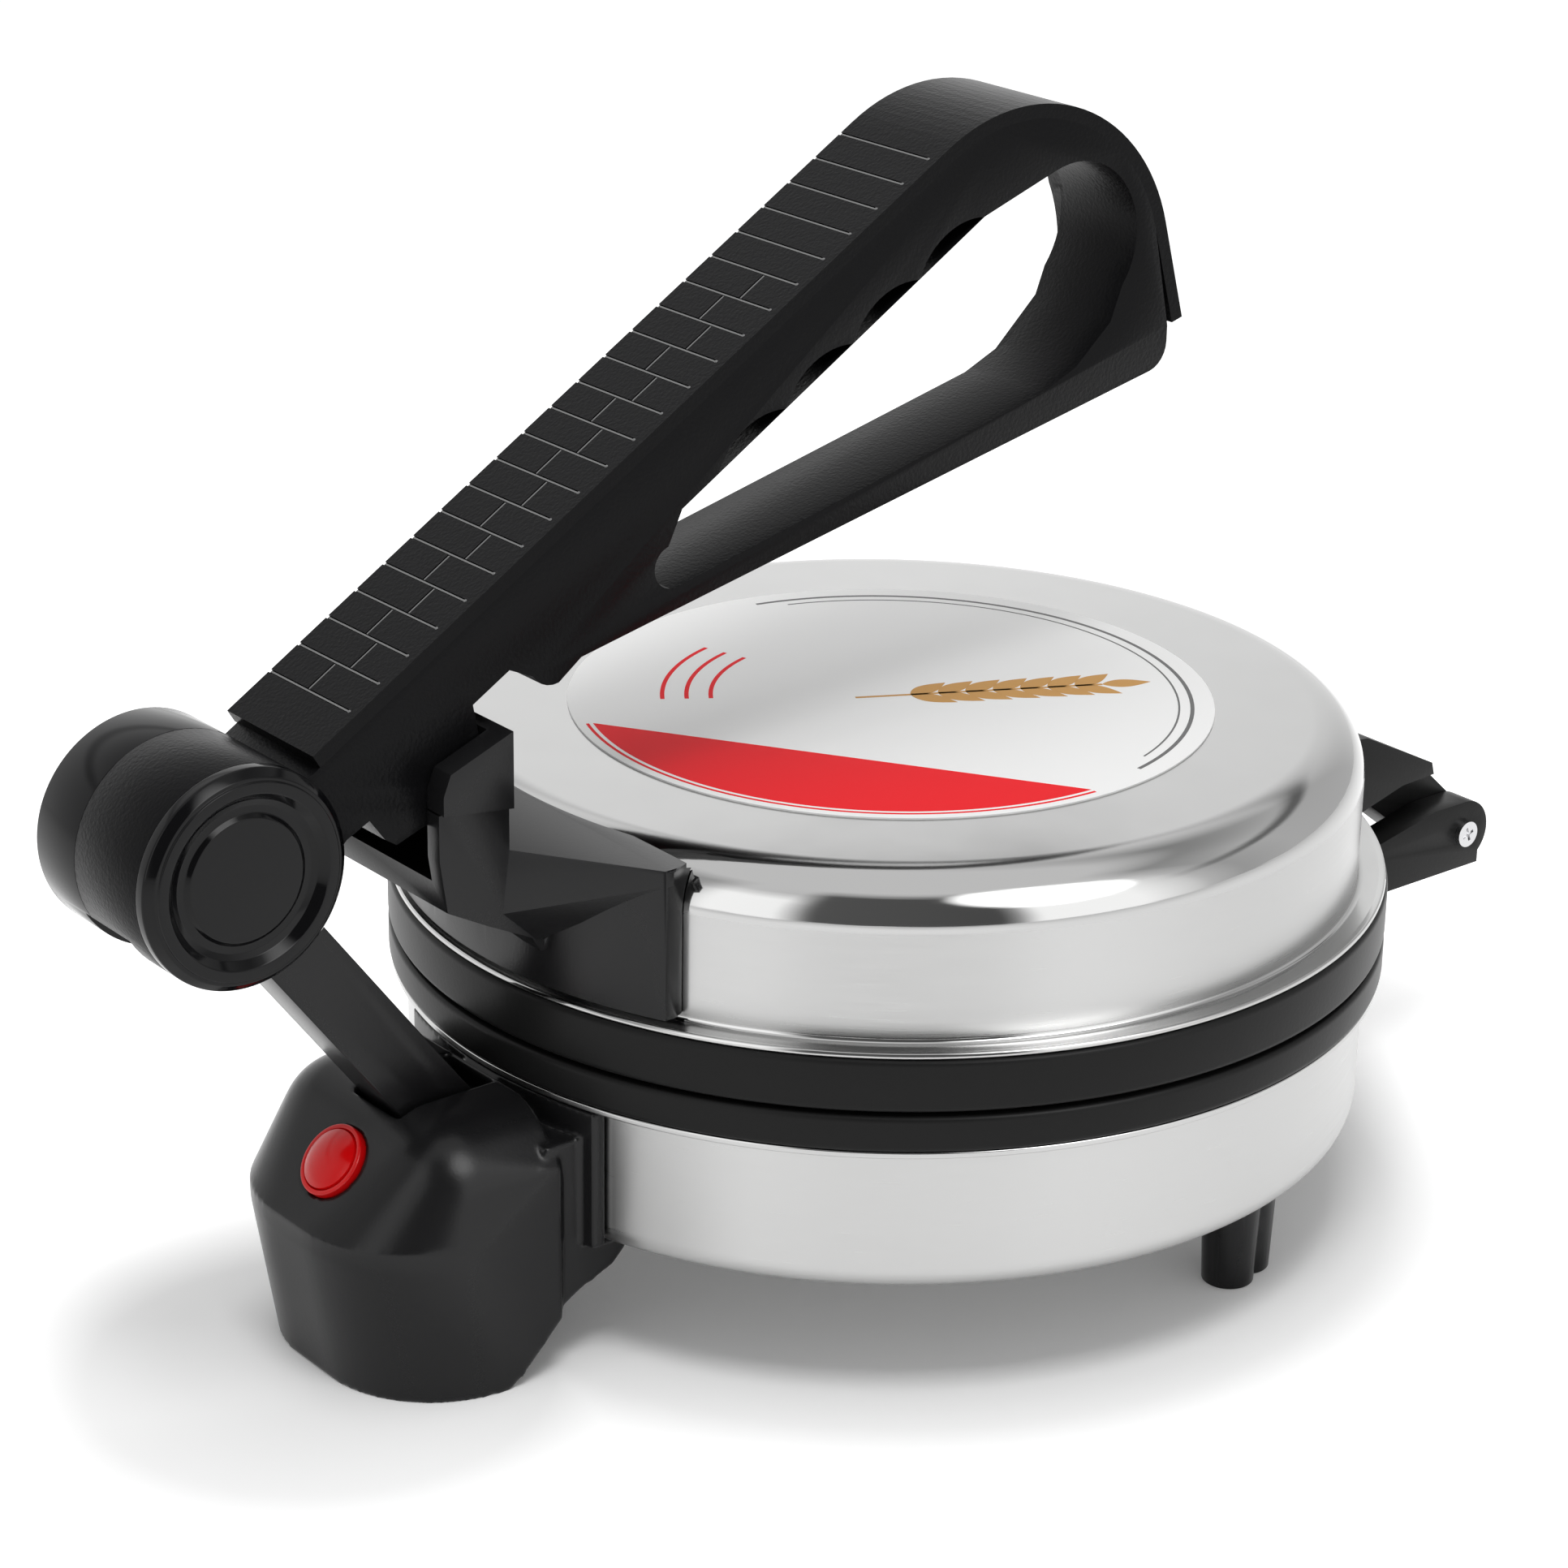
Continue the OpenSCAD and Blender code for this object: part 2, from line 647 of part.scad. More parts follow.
// Long screw that is the hinge's pin, headed on the right and nutted on the left
module hinge_pin() {
    color(zinc) in_place() difference() {
        union() {
            bar_x(hinge_pin_r, 2 * hinge_hw + 1, hinge_y, hinge_z);
            bar_x(hinge_pin_r + 0.6, 1.6, hinge_y, hinge_z, hinge_hw + 0.8);
            bar_x(5, 3, hinge_y, hinge_z, -hinge_hw - 1.5);
        }
        translate([hinge_hw + 1, hinge_y, hinge_z]) for (a = [20, 110]) rotate([a, 0, 0])
            translate([0, -2, -0.4]) cube([3, 4, 0.8]);
    }
}

// Outside of the lid cover, grown by g, as a closed half section
module lid_half(g) {
    square_h = lid_h - lid_shoulder_h;
    translate([0, up_top]) square([lid_r + g, square_h]);
    translate([0, up_top]) square([lid_flat_r, lid_h + g]);
    polygon(concat([[0, up_top + square_h]], [for (i = [0:16])
        [lid_flat_r + (shoulder_w + g) * cos(i * 90 / 16),
            up_top + square_h + (lid_shoulder_h + g) * sin(i * 90 / 16)]]));
}

module lid_cover() {
    color(steel) in_place() difference() {
        rotate_extrude($fn = 180) difference() {
            union() {
                lid_half(0);
                translate([0, up_top]) square([ring_r - 1.5, sheet]);
                translate([ring_r - 1.5, up_top + 0.75]) circle(0.75, $fn = 24);
            }
            translate([0, up_top - 0.01]) square([lid_r - sheet, lid_h - lid_shoulder_h + 0.01]);
            lid_half(-sheet);
            translate([0, up_top - 5]) square([ring_r, 5]);
        }
        lid_bracket_places() wall_hole(side_screw_r + 0.2);
        lid_hinge_places() wall_hole(side_screw_r + 0.2);
    }
}

module lid_ring() {
    color(black) in_place() difference() {
        translate([0, 0, up_z]) rotate_extrude($fn = 180) union() {
            ring_section(up_ring_h, up_back - up_z);
            translate([ring_in, up_ring_h - 1]) square([lid_r - sheet - seat_gap - ring_in, 5]);
        }
        around(plate_screw_r, plate_screws, 45) translate([0, 0, up_z])
            cylinder(r = plate_screw_shank + 0.2, h = 20, $fn = 32);
        lid_bracket_places() wall_hole(5);
        lid_hinge_places() wall_hole(5);
    }
}

module upper_plate() {
    color(alloy) in_place() translate([0, 0, up_face]) mirror([0, 0, 1]) plate();
}

module upper_heater() {
    color([0.3, 0.3, 0.32]) in_place() translate([0, 0, up_back + tube_r + heater_z_gap])
        mirror([0, 0, 1]) rotate(90) heater();
}

module upper_heater_clamp() {
    color(zinc) in_place() translate([0, 0, clamp_up_z]) heater_clamp();
}

module upper_thermostat() {
    color([0.9, 0.88, 0.8]) in_place() rotate(30) translate([thermo_x, 0, up_back]) mirror([0, 0, 1])
        thermostat();
}

module upper_plate_screws() {
    color(zinc) in_place() around(plate_screw_r, plate_screws, 45) translate([0, 0, up_back + ledge_t])
        screw(3, 2, plate_screw_shank, ledge_t + 2.6);
}

// Stud and flanged nut that hold the upper clamp to the plate's boss
module upper_clamp_nut() {
    color(zinc) in_place() translate([0, 0, up_back + 9]) union() {
        cylinder(r = boss_r + 3, h = 1.5);
        cylinder(r = 5.8, h = 6, $fn = 6);
        translate([0, 0, -8]) cylinder(r = centre_bolt_r, h = 9);
    }
}

badge_t = 0.4;
module lid_badge() {
    color([0.93, 0.93, 0.92]) in_place() translate([0, 0, lid_top])
        cylinder(r = badge_r, h = badge_t, $fn = 180);
}

// Front bracket: sloping shoulders on the lid and a tower with a slot for the handle
bracket_screw_x = 38;
bracket_screw_z = up_top + 11;
bracket_screw_a = asin(bracket_screw_x / lid_r);
module lid_bracket_places() {
    for (s = [-1, 1]) rotate(-90 + s * bracket_screw_a) translate([lid_r, 0, bracket_screw_z]) children();
}

wing_r = ring_r - 1.5;
wing_in_r = lid_r + 0.3;
wing_a = 26.5;
wing_low_z = up_top + 3;
wing_top_z = lid_top - 0.2;
wing_back_y = -lid_flat_r - 5.5;
nose_hw = 22;
slot_hw = handle_w / 2 + 0.4;
slot_r = 24.6;
tower_y = pivot_y + 10;
tower_front = pivot_y - 9;
// Right end of the handle's pin, inside the tower
pin_to = tower_hw - 1.6;
module lid_bracket() {
    color(black) in_place() difference() {
        union() {
            // shoulders: from the nose's sides out to the ends of the curved wall
            hull() {
                side_plate(2 * nose_hw) polygon([[wing_back_y, wing_top_z - 3], [wing_back_y, wing_top_z],
                    [tower_y, wing_top_z - 0.6], [tower_y - 2, pivot_z - 34], [-wing_r, up_top + 15],
                    [wing_back_y - 8, up_top + 15]]);
                for (s = [-1, 1]) rotate(-90 + s * wing_a) translate([wing_in_r - 1, -0.5, wing_top_z - 3.4])
                    cube([wing_r - wing_in_r + 0.6, 1, 3.2]);
            }
            // curved wall against the lid's side, its top edge rising outwards
            intersection() {
                translate([0, 0, wing_low_z]) cylinder(r = wing_r, h = wing_top_z - wing_low_z, $fn = 180);
                rotate([90, 0, 0]) linear_extrude(200) polygon([
                    [-54, wing_low_z - 1], [54, wing_low_z - 1], [54, wing_top_z],
                    [nose_hw - 1, up_top + 14], [1 - nose_hw, up_top + 14], [-54, wing_top_z]]);
                linear_extrude(200) polygon([[0, 0], 200 * [-sin(wing_a), -cos(wing_a)], [0, -200],
                    200 * [sin(wing_a), -cos(wing_a)]]);
            }
            // nose under the tower
            side_plate(2 * nose_hw) polygon([
                [wing_back_y - 8, up_top + 12], [tower_y, wing_top_z - 4], [tower_y, pivot_z - 6],
                [tower_front, pivot_z - 6], [tower_front, pivot_z - 17], [tower_front + 2, pivot_z - 30],
                [pivot_y + 4, pivot_z - 36], [pivot_y + 16, pivot_z - 42], [-wing_r + 1, up_top + 12]]);
            // tower
            side_plate(2 * tower_hw) polygon([
                [tower_y, pivot_z - 8], [tower_y, pivot_z + 10.5], [tower_front + 2, pivot_z + 4],
                [tower_front, pivot_z - 1], [tower_front, pivot_z - 5.5]]);
        }
        translate([0, 0, 0.3]) rotate_extrude($fn = 180) lid_half(0.3);
        // slot for the handle's lug and neck
        difference() {
            bar_x(slot_r, 2 * slot_hw, pivot_y, pivot_z);
            translate([-50, pivot_y + 7.4, pivot_z - 50]) cube([100, 60, 100]);
        }
        translate([-slot_hw, pivot_y - 60, pivot_z - 6]) cube([2 * slot_hw, 67.4, 60]);
        bar_x(pin_r + pin_gap, 60 + pin_to + 0.2, pivot_y, pivot_z, (pin_to + 0.2 - 60) / 2);
        lid_bracket_places() side_bore(4.8);
    }
}

module lid_bracket_screws() {
    color(zinc) in_place() lid_bracket_places() side_screw(4.4);
}

// Pin of the handle, pushed in from the left, where its head is
module handle_pivot_pin() {
    color(zinc) in_place() union() {
        bar_x(pin_r, pin_to + tower_hw + 1, pivot_y, pivot_z, (pin_to - tower_hw - 1) / 2);
        bar_x(pin_r + 1.6, 1.4, pivot_y, pivot_z, -tower_hw - 0.7);
    }
}

// Rear bracket: sits on the lid's flange and wall, with two arms down to the hinge pin
lid_hinge_x = 22;
lid_hinge_a = asin(lid_hinge_x / lid_r);
module lid_hinge_places() {
    for (s = [-1, 1]) rotate(90 + s * lid_hinge_a) translate([lid_r, 0, up_top + 6]) children();
}

arm_w = 13;
arm_x = hinge_hw - ear_t - ear_gap - arm_w / 2;
module lid_hinge_bracket() {
    color(black) in_place() difference() {
        union() {
            side_plate(2 * hinge_hw) polygon([
                [lid_r - 12, up_top + 1], [lid_r - 12, up_top + 13], [ring_r + 8, up_top + 10],
                [hinge_y - 15, up_top - 3], [hinge_y - 14, up_top - 6.5], [hinge_y - 26, up_top - 7],
                [ring_r + 6, up_z + 1.5], [ring_r - 2, up_z + 1.5]]);
            for (s = [-1, 1]) side_plate(arm_w, s * arm_x) union() {
                translate([hinge_y, hinge_z]) circle(ear_r - 1);
                polygon([
                    [hinge_y - 6, hinge_z - 5.3], [hinge_y + 6, hinge_z + 5.3], [hinge_y - 8, up_top - 9],
                    [hinge_y - 20, up_top - 4], [ring_r + 10, up_top - 2], [ring_r + 7, up_z + 1.5],
                    [ring_r + 16, up_z + 1.5]]);
            }
        }
        translate([0, 0, 0.3]) rotate_extrude($fn = 180) lid_half(0.3);
        translate([0, 0, up_z - 5]) cylinder(r = ring_r + 0.4, h = up_ring_h + 5 + 1.8, $fn = 180);
        bar_x(hinge_pin_r + pin_gap, through, hinge_y, hinge_z);
        lid_hinge_places() side_bore(6.4);
    }
}

module lid_hinge_screws() {
    color(zinc) in_place() lid_hinge_places() side_screw(6);
}

// Directions along and across the handle's top line
along = [cos(handle_slope), sin(handle_slope)];
across = [-sin(handle_slope), cos(handle_slope)];
pivot = [pivot_y, pivot_z];
bend = pivot + [bend_y, bend_z];
barrel = [barrel_y, barrel_z];
bend_end = 16;
tip = pivot + [213.4, 69];
// Underside of the lower bar where it leaves the neck
heel = pivot + [30, 19.9];

// Outline of the handle's body without its hole
module handle_outline() {
    r = bend_r - cover_t;
    bar_dir = [cos(bar_slope), sin(bar_slope)];
    polygon(concat(
        [bend + across * r - along * (cover_len + 12)],
        arc(bend, r, 90 + handle_slope, bend_end, 30),
        [tip], arc(tip + [-7, -4], 7, 0, -90 + bar_slope, 6),
        [heel + bar_dir * 4], arc(heel + [-4, 2.4], 6.4, -76, -150, 5),
        [pivot + [14, 22], pivot + [4, 16]], arc(pivot, lug_r, 10, -100, 10),
        [for (p = [[-17, -12.5], [-20, -10.5], [-24, -5], [-30, -8], [-42, -20]]) pivot + p],
        [barrel]));
}

// The hand hole, with finger grooves along its upper edge
grip_t = 21.3;
hole_r = 20.5;
hole_end_r = 5.2;
// Ends of the hole's straight floor, from the heel, and the middle of its far round end, from the pivot
hole_from = 31;
hole_to = 148;
hole_round = [181, 94];
module hand_hole(grow = 0) {
    bar_dir = [cos(bar_slope), sin(bar_slope)];
    bar_up = [-sin(bar_slope), cos(bar_slope)];
    floor_0 = heel + bar_up * (bar_t - grow);
    top_0 = bend + across * (bend_r - grip_t + grow);
    round_c = pivot + hole_round;
    round_r = hole_r + grow;
    first = top_0 + along * 0.8;
    last = first - along * finger_pitch * fingers;
    groove_r = (pow(finger_pitch / 2, 2) + pow(finger_depth, 2)) / (2 * finger_depth);
    translate(round_c) circle(round_r);
    from = floor_0 + bar_dir * hole_from;
    to = floor_0 + bar_dir * hole_to;
    polygon([round_c + round_r * [cos(109), sin(109)], first, last, last - along * 12, from + bar_up * 8,
        from, to,
        to + bar_dir * 11 + bar_up * 2, round_c + [13 + grow, -21], round_c + [20.4 + grow, -2], round_c]);
    translate(from + bar_dir * 2 + bar_up * (hole_end_r + grow)) circle(hole_end_r + grow, $fn = 48);
    difference() {
        for (i = [0:fingers - 1])
            translate(first - along * finger_pitch * (i + 0.5) - across * (groove_r - finger_depth))
            circle(groove_r);
        translate(last - along * 40) rotate(handle_slope) translate([0, -60]) square([400, 60]);
    }
}

// The loop's left side is set in by far_step, under a lip that carries the cover
far_step = 4;
lip_t = 2.5;
// and the hand hole is far_grow wider over the last part of its width there
far_round = 8;
far_grow = 2.4;
module far_side() {
    r = bend_r - cover_t - lip_t;
    polygon([bend + across * r, bend + across * r - along * 150, pivot + [34, 8], pivot + [206, 44],
        bend + [cos(bend_end), sin(bend_end)] * r]);
    translate(bend) circle(r);
}

// Slots of the barrel that the link swings through
slot_from = -28;
slot_to = -150;
module barrel_slot(w, x) {
    side_plate(w, x) polygon(concat([barrel], arc(barrel, 40, slot_from, slot_to, 16)));
}

seam_x = -7;
cap_len = 5;
cap_edge = 1.2;
cap_x = barrel_len / 2 - cap_len;
// The barrel's pin reaches this far into each end
barrel_pin_to = cap_x + 1.5;
module handle_body() {
    color(black) in_place() difference() {
        union() {
            side_plate(handle_w) difference() {
                handle_outline();
                hand_hole();
            }
            bar_x(barrel_r, cap_x - seam_x, barrel_y, barrel_z, (cap_x + seam_x) / 2);
        }
        bar_x(barrel_r - barrel_wall, cap_x - seam_x + 1, barrel_y, barrel_z, (cap_x + seam_x) / 2);
        bar_x(barrel_r + 0.3, 40, barrel_y, barrel_z, seam_x - 20);
        barrel_slot(link_w / 2 + 0.8 - seam_x + 1, (link_w / 2 + 0.8 + seam_x - 1) / 2);
        bar_x(pin_r + pin_gap, through, pivot_y, pivot_z);
        cover_screw_places() translate([0, 0, -cover_t - 14]) cylinder(r = 1.3, h = 16, $fn = 32);
        side_plate(8, -handle_w / 2 - 4 + far_step) far_side();
        side_plate(10, -handle_w / 2 - 5 + far_round) hand_hole(far_grow);
    }
}

// Places on the handle's top line, z along its normal, 0 at the cover's outer face
module on_top(s) {
    translate([0, bend[0] + across[0] * bend_r - along[0] * s, bend[1] + across[1] * bend_r - along[1] * s])
        rotate([handle_slope, 0, 0]) children();
}

module cover_screw_places() {
    for (s = [30, cover_len - 25]) on_top(s) children();
}

cover_tip = 26;
// Directions outwards and along the cover at the bend's end
end_out = [cos(bend_end), sin(bend_end)];
end_down = [sin(bend_end), -cos(bend_end)];
cover_lap = 1;
rib_rows = 5;
pattern_from = -handle_w / 2 - 2;
pattern_to = handle_w / 2 - 3;
module handle_top_cover() {
    color(black) in_place() difference() {
        side_plate(handle_w + cover_lap, -cover_lap / 2) polygon(concat(
            [for (r = [bend_r - cover_t, bend_r]) bend + across * r - along * cover_len],
            arc(bend, bend_r, 90 + handle_slope, bend_end, 30),
            [for (r = [bend_r, bend_r - cover_t]) bend + r * end_out + cover_tip * end_down],
            arc(bend, bend_r - cover_t, bend_end, 90 + handle_slope, 30)));
        cover_grooves();
        cover_screw_places() translate([0, 0, -cover_t - 1]) cylinder(r = 1.6, h = cover_t - 1, $fn = 32);
        bar_x(barrel_r + 0.3, through, barrel_y, barrel_z);
    }
}

// Cross grooves all along, and a staggered middle line between them
module cover_grooves() {
    rows = floor((cover_len - 6) / brick_pitch);
    for (i = [0:rows - 1]) on_top(4.5 + i * brick_pitch)
        translate([pattern_from, -groove_w / 2, -groove_d]) cube([pattern_to - pattern_from, groove_w, 2]);
    for (i = [rib_rows:rows - 2]) on_top(4.5 + i * brick_pitch)
        translate([(i % 2 == 0 ? -2.6 : 2.6) - groove_w / 2, -brick_pitch, -groove_d])
        cube([groove_w, brick_pitch, 2]);
}

module handle_cover_screws() {
    color(zinc) in_place() cover_screw_places() translate([0, 0, -cover_t - 12])
        cylinder(r = 1.25, h = 13.4, $fn = 32);
}

// Left end of the barrel: a cup up to the seam, with a dished end
dish_r = barrel_r - 9;
cup_len = seam_x + barrel_len / 2 - 0.1;
cup_x = (seam_x - 0.1 - barrel_len / 2) / 2;
module barrel_left_cup() {
    color(black) in_place() difference() {
        bar_x(barrel_r, cup_len, barrel_y, barrel_z, cup_x);
        bar_x(barrel_r - barrel_wall, cup_len, barrel_y, barrel_z, cup_x + 5);
        bar_x(dish_r, 2.4, barrel_y, barrel_z, -barrel_len / 2 + 0.2);
        bar_x(pin_r + pin_gap, 2 * (barrel_pin_to + 0.1), barrel_y, barrel_z);
        barrel_slot(link_w / 2 + 0.8 + seam_x + 1, (seam_x + 1 - link_w / 2 - 0.8) / 2);
    }
}

// Right end cap: a dished disc with a spigot inside the barrel
module barrel_right_cap() {
    color(black) in_place() difference() {
        union() {
            bar_x(barrel_r, cap_len - cap_edge, barrel_y, barrel_z, cap_x + (cap_len - cap_edge) / 2);
            bar_x(barrel_r - cap_edge, cap_len, barrel_y, barrel_z, cap_x + cap_len / 2);
            bar_x(barrel_r - barrel_wall - 0.1, 3.01, barrel_y, barrel_z, cap_x - 1.5);
        }
        bar_x(dish_r + 2, 2.4, barrel_y, barrel_z, barrel_len / 2);
        bar_x(dish_r, 5, barrel_y, barrel_z, barrel_len / 2);
        bar_x(pin_r + pin_gap, 2 * (barrel_pin_to + 0.1), barrel_y, barrel_z);
        bar_x(barrel_r - barrel_wall - 3, 6, barrel_y, barrel_z, cap_x - 3);
    }
}

module barrel_pin() {
    color(zinc) in_place() bar_x(pin_r, 2 * barrel_pin_to, barrel_y, barrel_z);
}

// Link: a bar with a close bore at its foot and a loose eye in the barrel
module link_arm() {
    color(black) in_place() difference() {
        side_plate(link_w) translate([link_y, link_z]) rotate(link_tilt) union() {
            circle(link_d / 2);
            translate([-link_d / 2, 0]) square([link_d, link_len - 12]);
            translate([0, link_len]) circle(eye_r + 3);
            translate([-link_d / 2, link_len - 12.5]) square([link_d, 4]);
        }
        bar_x(pin_r - 0.5 + pin_gap, through, link_y, link_z);
        bar_x(eye_r, through, barrel_y, barrel_z);
    }
}

base_pan();
base_ring();
lower_plate();
lower_heater();
lower_heater_clamp();
lower_thermostat();
lower_plate_screws();
base_centre_bolt();
base_spacer();
front_housing();
housing_bottom_cover();
housing_cover_screws();
housing_flange_screws();
lamp_lens();
lamp_body();
terminal_block();
cord_inlet_bush();
link_base_pin();
rear_feet();
rear_foot_screws();
base_hinge_bracket();
base_hinge_screws();
hinge_pin();
lid_cover();
lid_ring();
upper_plate();
upper_heater();
upper_heater_clamp();
upper_thermostat();
upper_plate_screws();
upper_clamp_nut();
lid_badge();
lid_bracket();
lid_bracket_screws();
lid_hinge_bracket();
lid_hinge_screws();
handle_pivot_pin();
handle_body();
handle_top_cover();
handle_cover_screws();
barrel_left_cup();
barrel_right_cap();
barrel_pin();
link_arm();
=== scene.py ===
"""Looks of the electric roti maker: materials, finer mesh pieces, camera, lights and floor."""
import json
import math
import bpy
import bmesh
import numpy as np
from mathutils import Vector, Matrix


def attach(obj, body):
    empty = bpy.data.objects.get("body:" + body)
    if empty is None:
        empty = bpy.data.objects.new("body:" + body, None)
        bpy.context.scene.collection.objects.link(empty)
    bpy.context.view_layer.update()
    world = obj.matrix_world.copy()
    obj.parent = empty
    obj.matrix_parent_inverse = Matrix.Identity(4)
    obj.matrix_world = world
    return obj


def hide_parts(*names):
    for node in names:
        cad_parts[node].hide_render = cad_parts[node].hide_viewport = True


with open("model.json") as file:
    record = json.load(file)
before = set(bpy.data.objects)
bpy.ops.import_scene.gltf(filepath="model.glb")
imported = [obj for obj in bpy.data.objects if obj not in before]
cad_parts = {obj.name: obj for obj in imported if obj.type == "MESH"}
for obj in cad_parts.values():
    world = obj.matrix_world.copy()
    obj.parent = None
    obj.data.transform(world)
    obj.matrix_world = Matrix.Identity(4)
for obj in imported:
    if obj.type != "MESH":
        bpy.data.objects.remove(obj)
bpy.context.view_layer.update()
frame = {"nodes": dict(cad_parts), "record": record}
NODES = frame["nodes"]

MM = 0.001
# how far the plates' axis lies behind the frame's origin, mm
AXIS_Y = 21.15


# Shader nodes

def new_material(name):
    mat = bpy.data.materials.new(name)
    mat.use_nodes = True
    nt = mat.node_tree
    return mat, nt, nt.nodes["Principled BSDF"]


def math_node(nt, operation, a, b):
    """Output of a maths node on two values, each a number or a socket."""
    node = nt.nodes.new("ShaderNodeMath")
    node.operation = operation
    for socket, value in zip(node.inputs, (a, b)):
        if isinstance(value, float):
            socket.default_value = value
        else:
            nt.links.new(value, socket)
    return node.outputs[0]


def ramp(nt, factor, stops):
    """Grey level by a factor, from stops of (place, level)."""
    node = nt.nodes.new("ShaderNodeValToRGB")
    for place, level in stops[2:]:
        node.color_ramp.elements.new(place)
    for element, (place, level) in zip(node.color_ramp.elements, stops):
        element.position = place
        element.color = (level, level, level, 1.0)
    nt.links.new(factor, node.inputs["Fac"])
    return node.outputs["Color"]


def map_range(nt, value, to_low, to_high, from_low=0.0, from_high=1.0):
    """A value's range moved to another range, cut off at its ends."""
    node = nt.nodes.new("ShaderNodeMapRange")
    settings = {"From Min": from_low, "From Max": from_high, "To Min": to_low, "To Max": to_high}
    for name, setting in settings.items():
        node.inputs[name].default_value = setting
    nt.links.new(value, node.inputs["Value"])
    return node.outputs["Result"]


def noise(nt, place, scale, detail):
    node = nt.nodes.new("ShaderNodeTexNoise")
    node.inputs["Scale"].default_value = scale
    node.inputs["Detail"].default_value = detail
    nt.links.new(place, node.inputs["Vector"])
    return node.outputs["Fac"]


def bump(nt, bsdf, height, strength, distance):
    node = nt.nodes.new("ShaderNodeBump")
    node.inputs["Strength"].default_value = strength
    node.inputs["Distance"].default_value = distance
    nt.links.new(height, node.inputs["Height"])
    nt.links.new(node.outputs["Normal"], bsdf.inputs["Normal"])


# Materials

# slow change of gloss over a moulded surface: patches per metre, and how much rougher or smoother
MOTTLE_SCALE, MOTTLE_DETAIL, MOTTLE_SPREAD = 25.0, 3.0, 0.03
GRAIN_DETAIL = 2.0


def plain(name, color, rough, metal, spec, grain):
    """One colour with a slow change of gloss and a fine grain of (scale per metre, strength, depth)."""
    mat, nt, bsdf = new_material(name)
    bsdf.inputs["Base Color"].default_value = (*color, 1.0)
    bsdf.inputs["Metallic"].default_value = metal
    bsdf.inputs["Specular IOR Level"].default_value = spec
    coord = nt.nodes.new("ShaderNodeTexCoord")
    patches = noise(nt, coord.outputs["Object"], MOTTLE_SCALE, MOTTLE_DETAIL)
    gloss = map_range(nt, patches, rough - MOTTLE_SPREAD, rough + MOTTLE_SPREAD)
    nt.links.new(gloss, bsdf.inputs["Roughness"])
    scale, strength, depth = grain
    bump(nt, bsdf, noise(nt, coord.outputs["Object"], scale, GRAIN_DETAIL), strength, depth)
    return mat


# the steel's zones by the normal's height: brushed walls, polished shoulder, satin top
WALL_END, SHOULDER_START, SHOULDER_END, TOP_START = 0.04, 0.14, 0.93, 0.999
# brushing: lines per metre round and up the wall, and their depth
BRUSH_SCALE, BRUSH_DETAIL, BRUSH_SPREAD = (60.0, 60.0, 2600.0), 4.0, 0.2
BRUSH_STRENGTH, BRUSH_DEPTH = 0.05, 0.0001
WALL_STREAK, STREAK_TURN = 0.7, 0.25


def brushed(name, color, wall_rough, bright_rough, top_rough):
    """Pressed steel: brushed walls, a polished shoulder and a satin top."""
    mat, nt, bsdf = new_material(name)
    bsdf.inputs["Base Color"].default_value = (*color, 1.0)
    bsdf.inputs["Metallic"].default_value = 1.0
    coord = nt.nodes.new("ShaderNodeTexCoord")
    normal = nt.nodes.new("ShaderNodeSeparateXYZ")
    nt.links.new(coord.outputs["Normal"], normal.inputs["Vector"])
    upward = normal.outputs["Z"]
    zones = ramp(nt, upward, [(0.0, wall_rough), (WALL_END, wall_rough), (SHOULDER_START, bright_rough),
                              (SHOULDER_END, bright_rough), (TOP_START, top_rough)])
    stretched = nt.nodes.new("ShaderNodeMapping")
    stretched.inputs["Scale"].default_value = BRUSH_SCALE
    nt.links.new(coord.outputs["Object"], stretched.inputs["Vector"])
    lines = noise(nt, stretched.outputs["Vector"], 1.0, BRUSH_DETAIL)
    change = map_range(nt, lines, 1 - BRUSH_SPREAD, 1 + BRUSH_SPREAD)
    nt.links.new(math_node(nt, "MULTIPLY", zones, change), bsdf.inputs["Roughness"])
    around = nt.nodes.new("ShaderNodeTangent")
    around.direction_type = "RADIAL"
    around.axis = "Z"
    nt.links.new(around.outputs["Tangent"], bsdf.inputs["Tangent"])
    streak = map_range(nt, upward, WALL_STREAK, 0.0, WALL_END, SHOULDER_START)
    nt.links.new(streak, bsdf.inputs["Anisotropic"])
    bsdf.inputs["Anisotropic Rotation"].default_value = STREAK_TURN
    bump(nt, bsdf, lines, BRUSH_STRENGTH, BRUSH_DEPTH)
    return mat


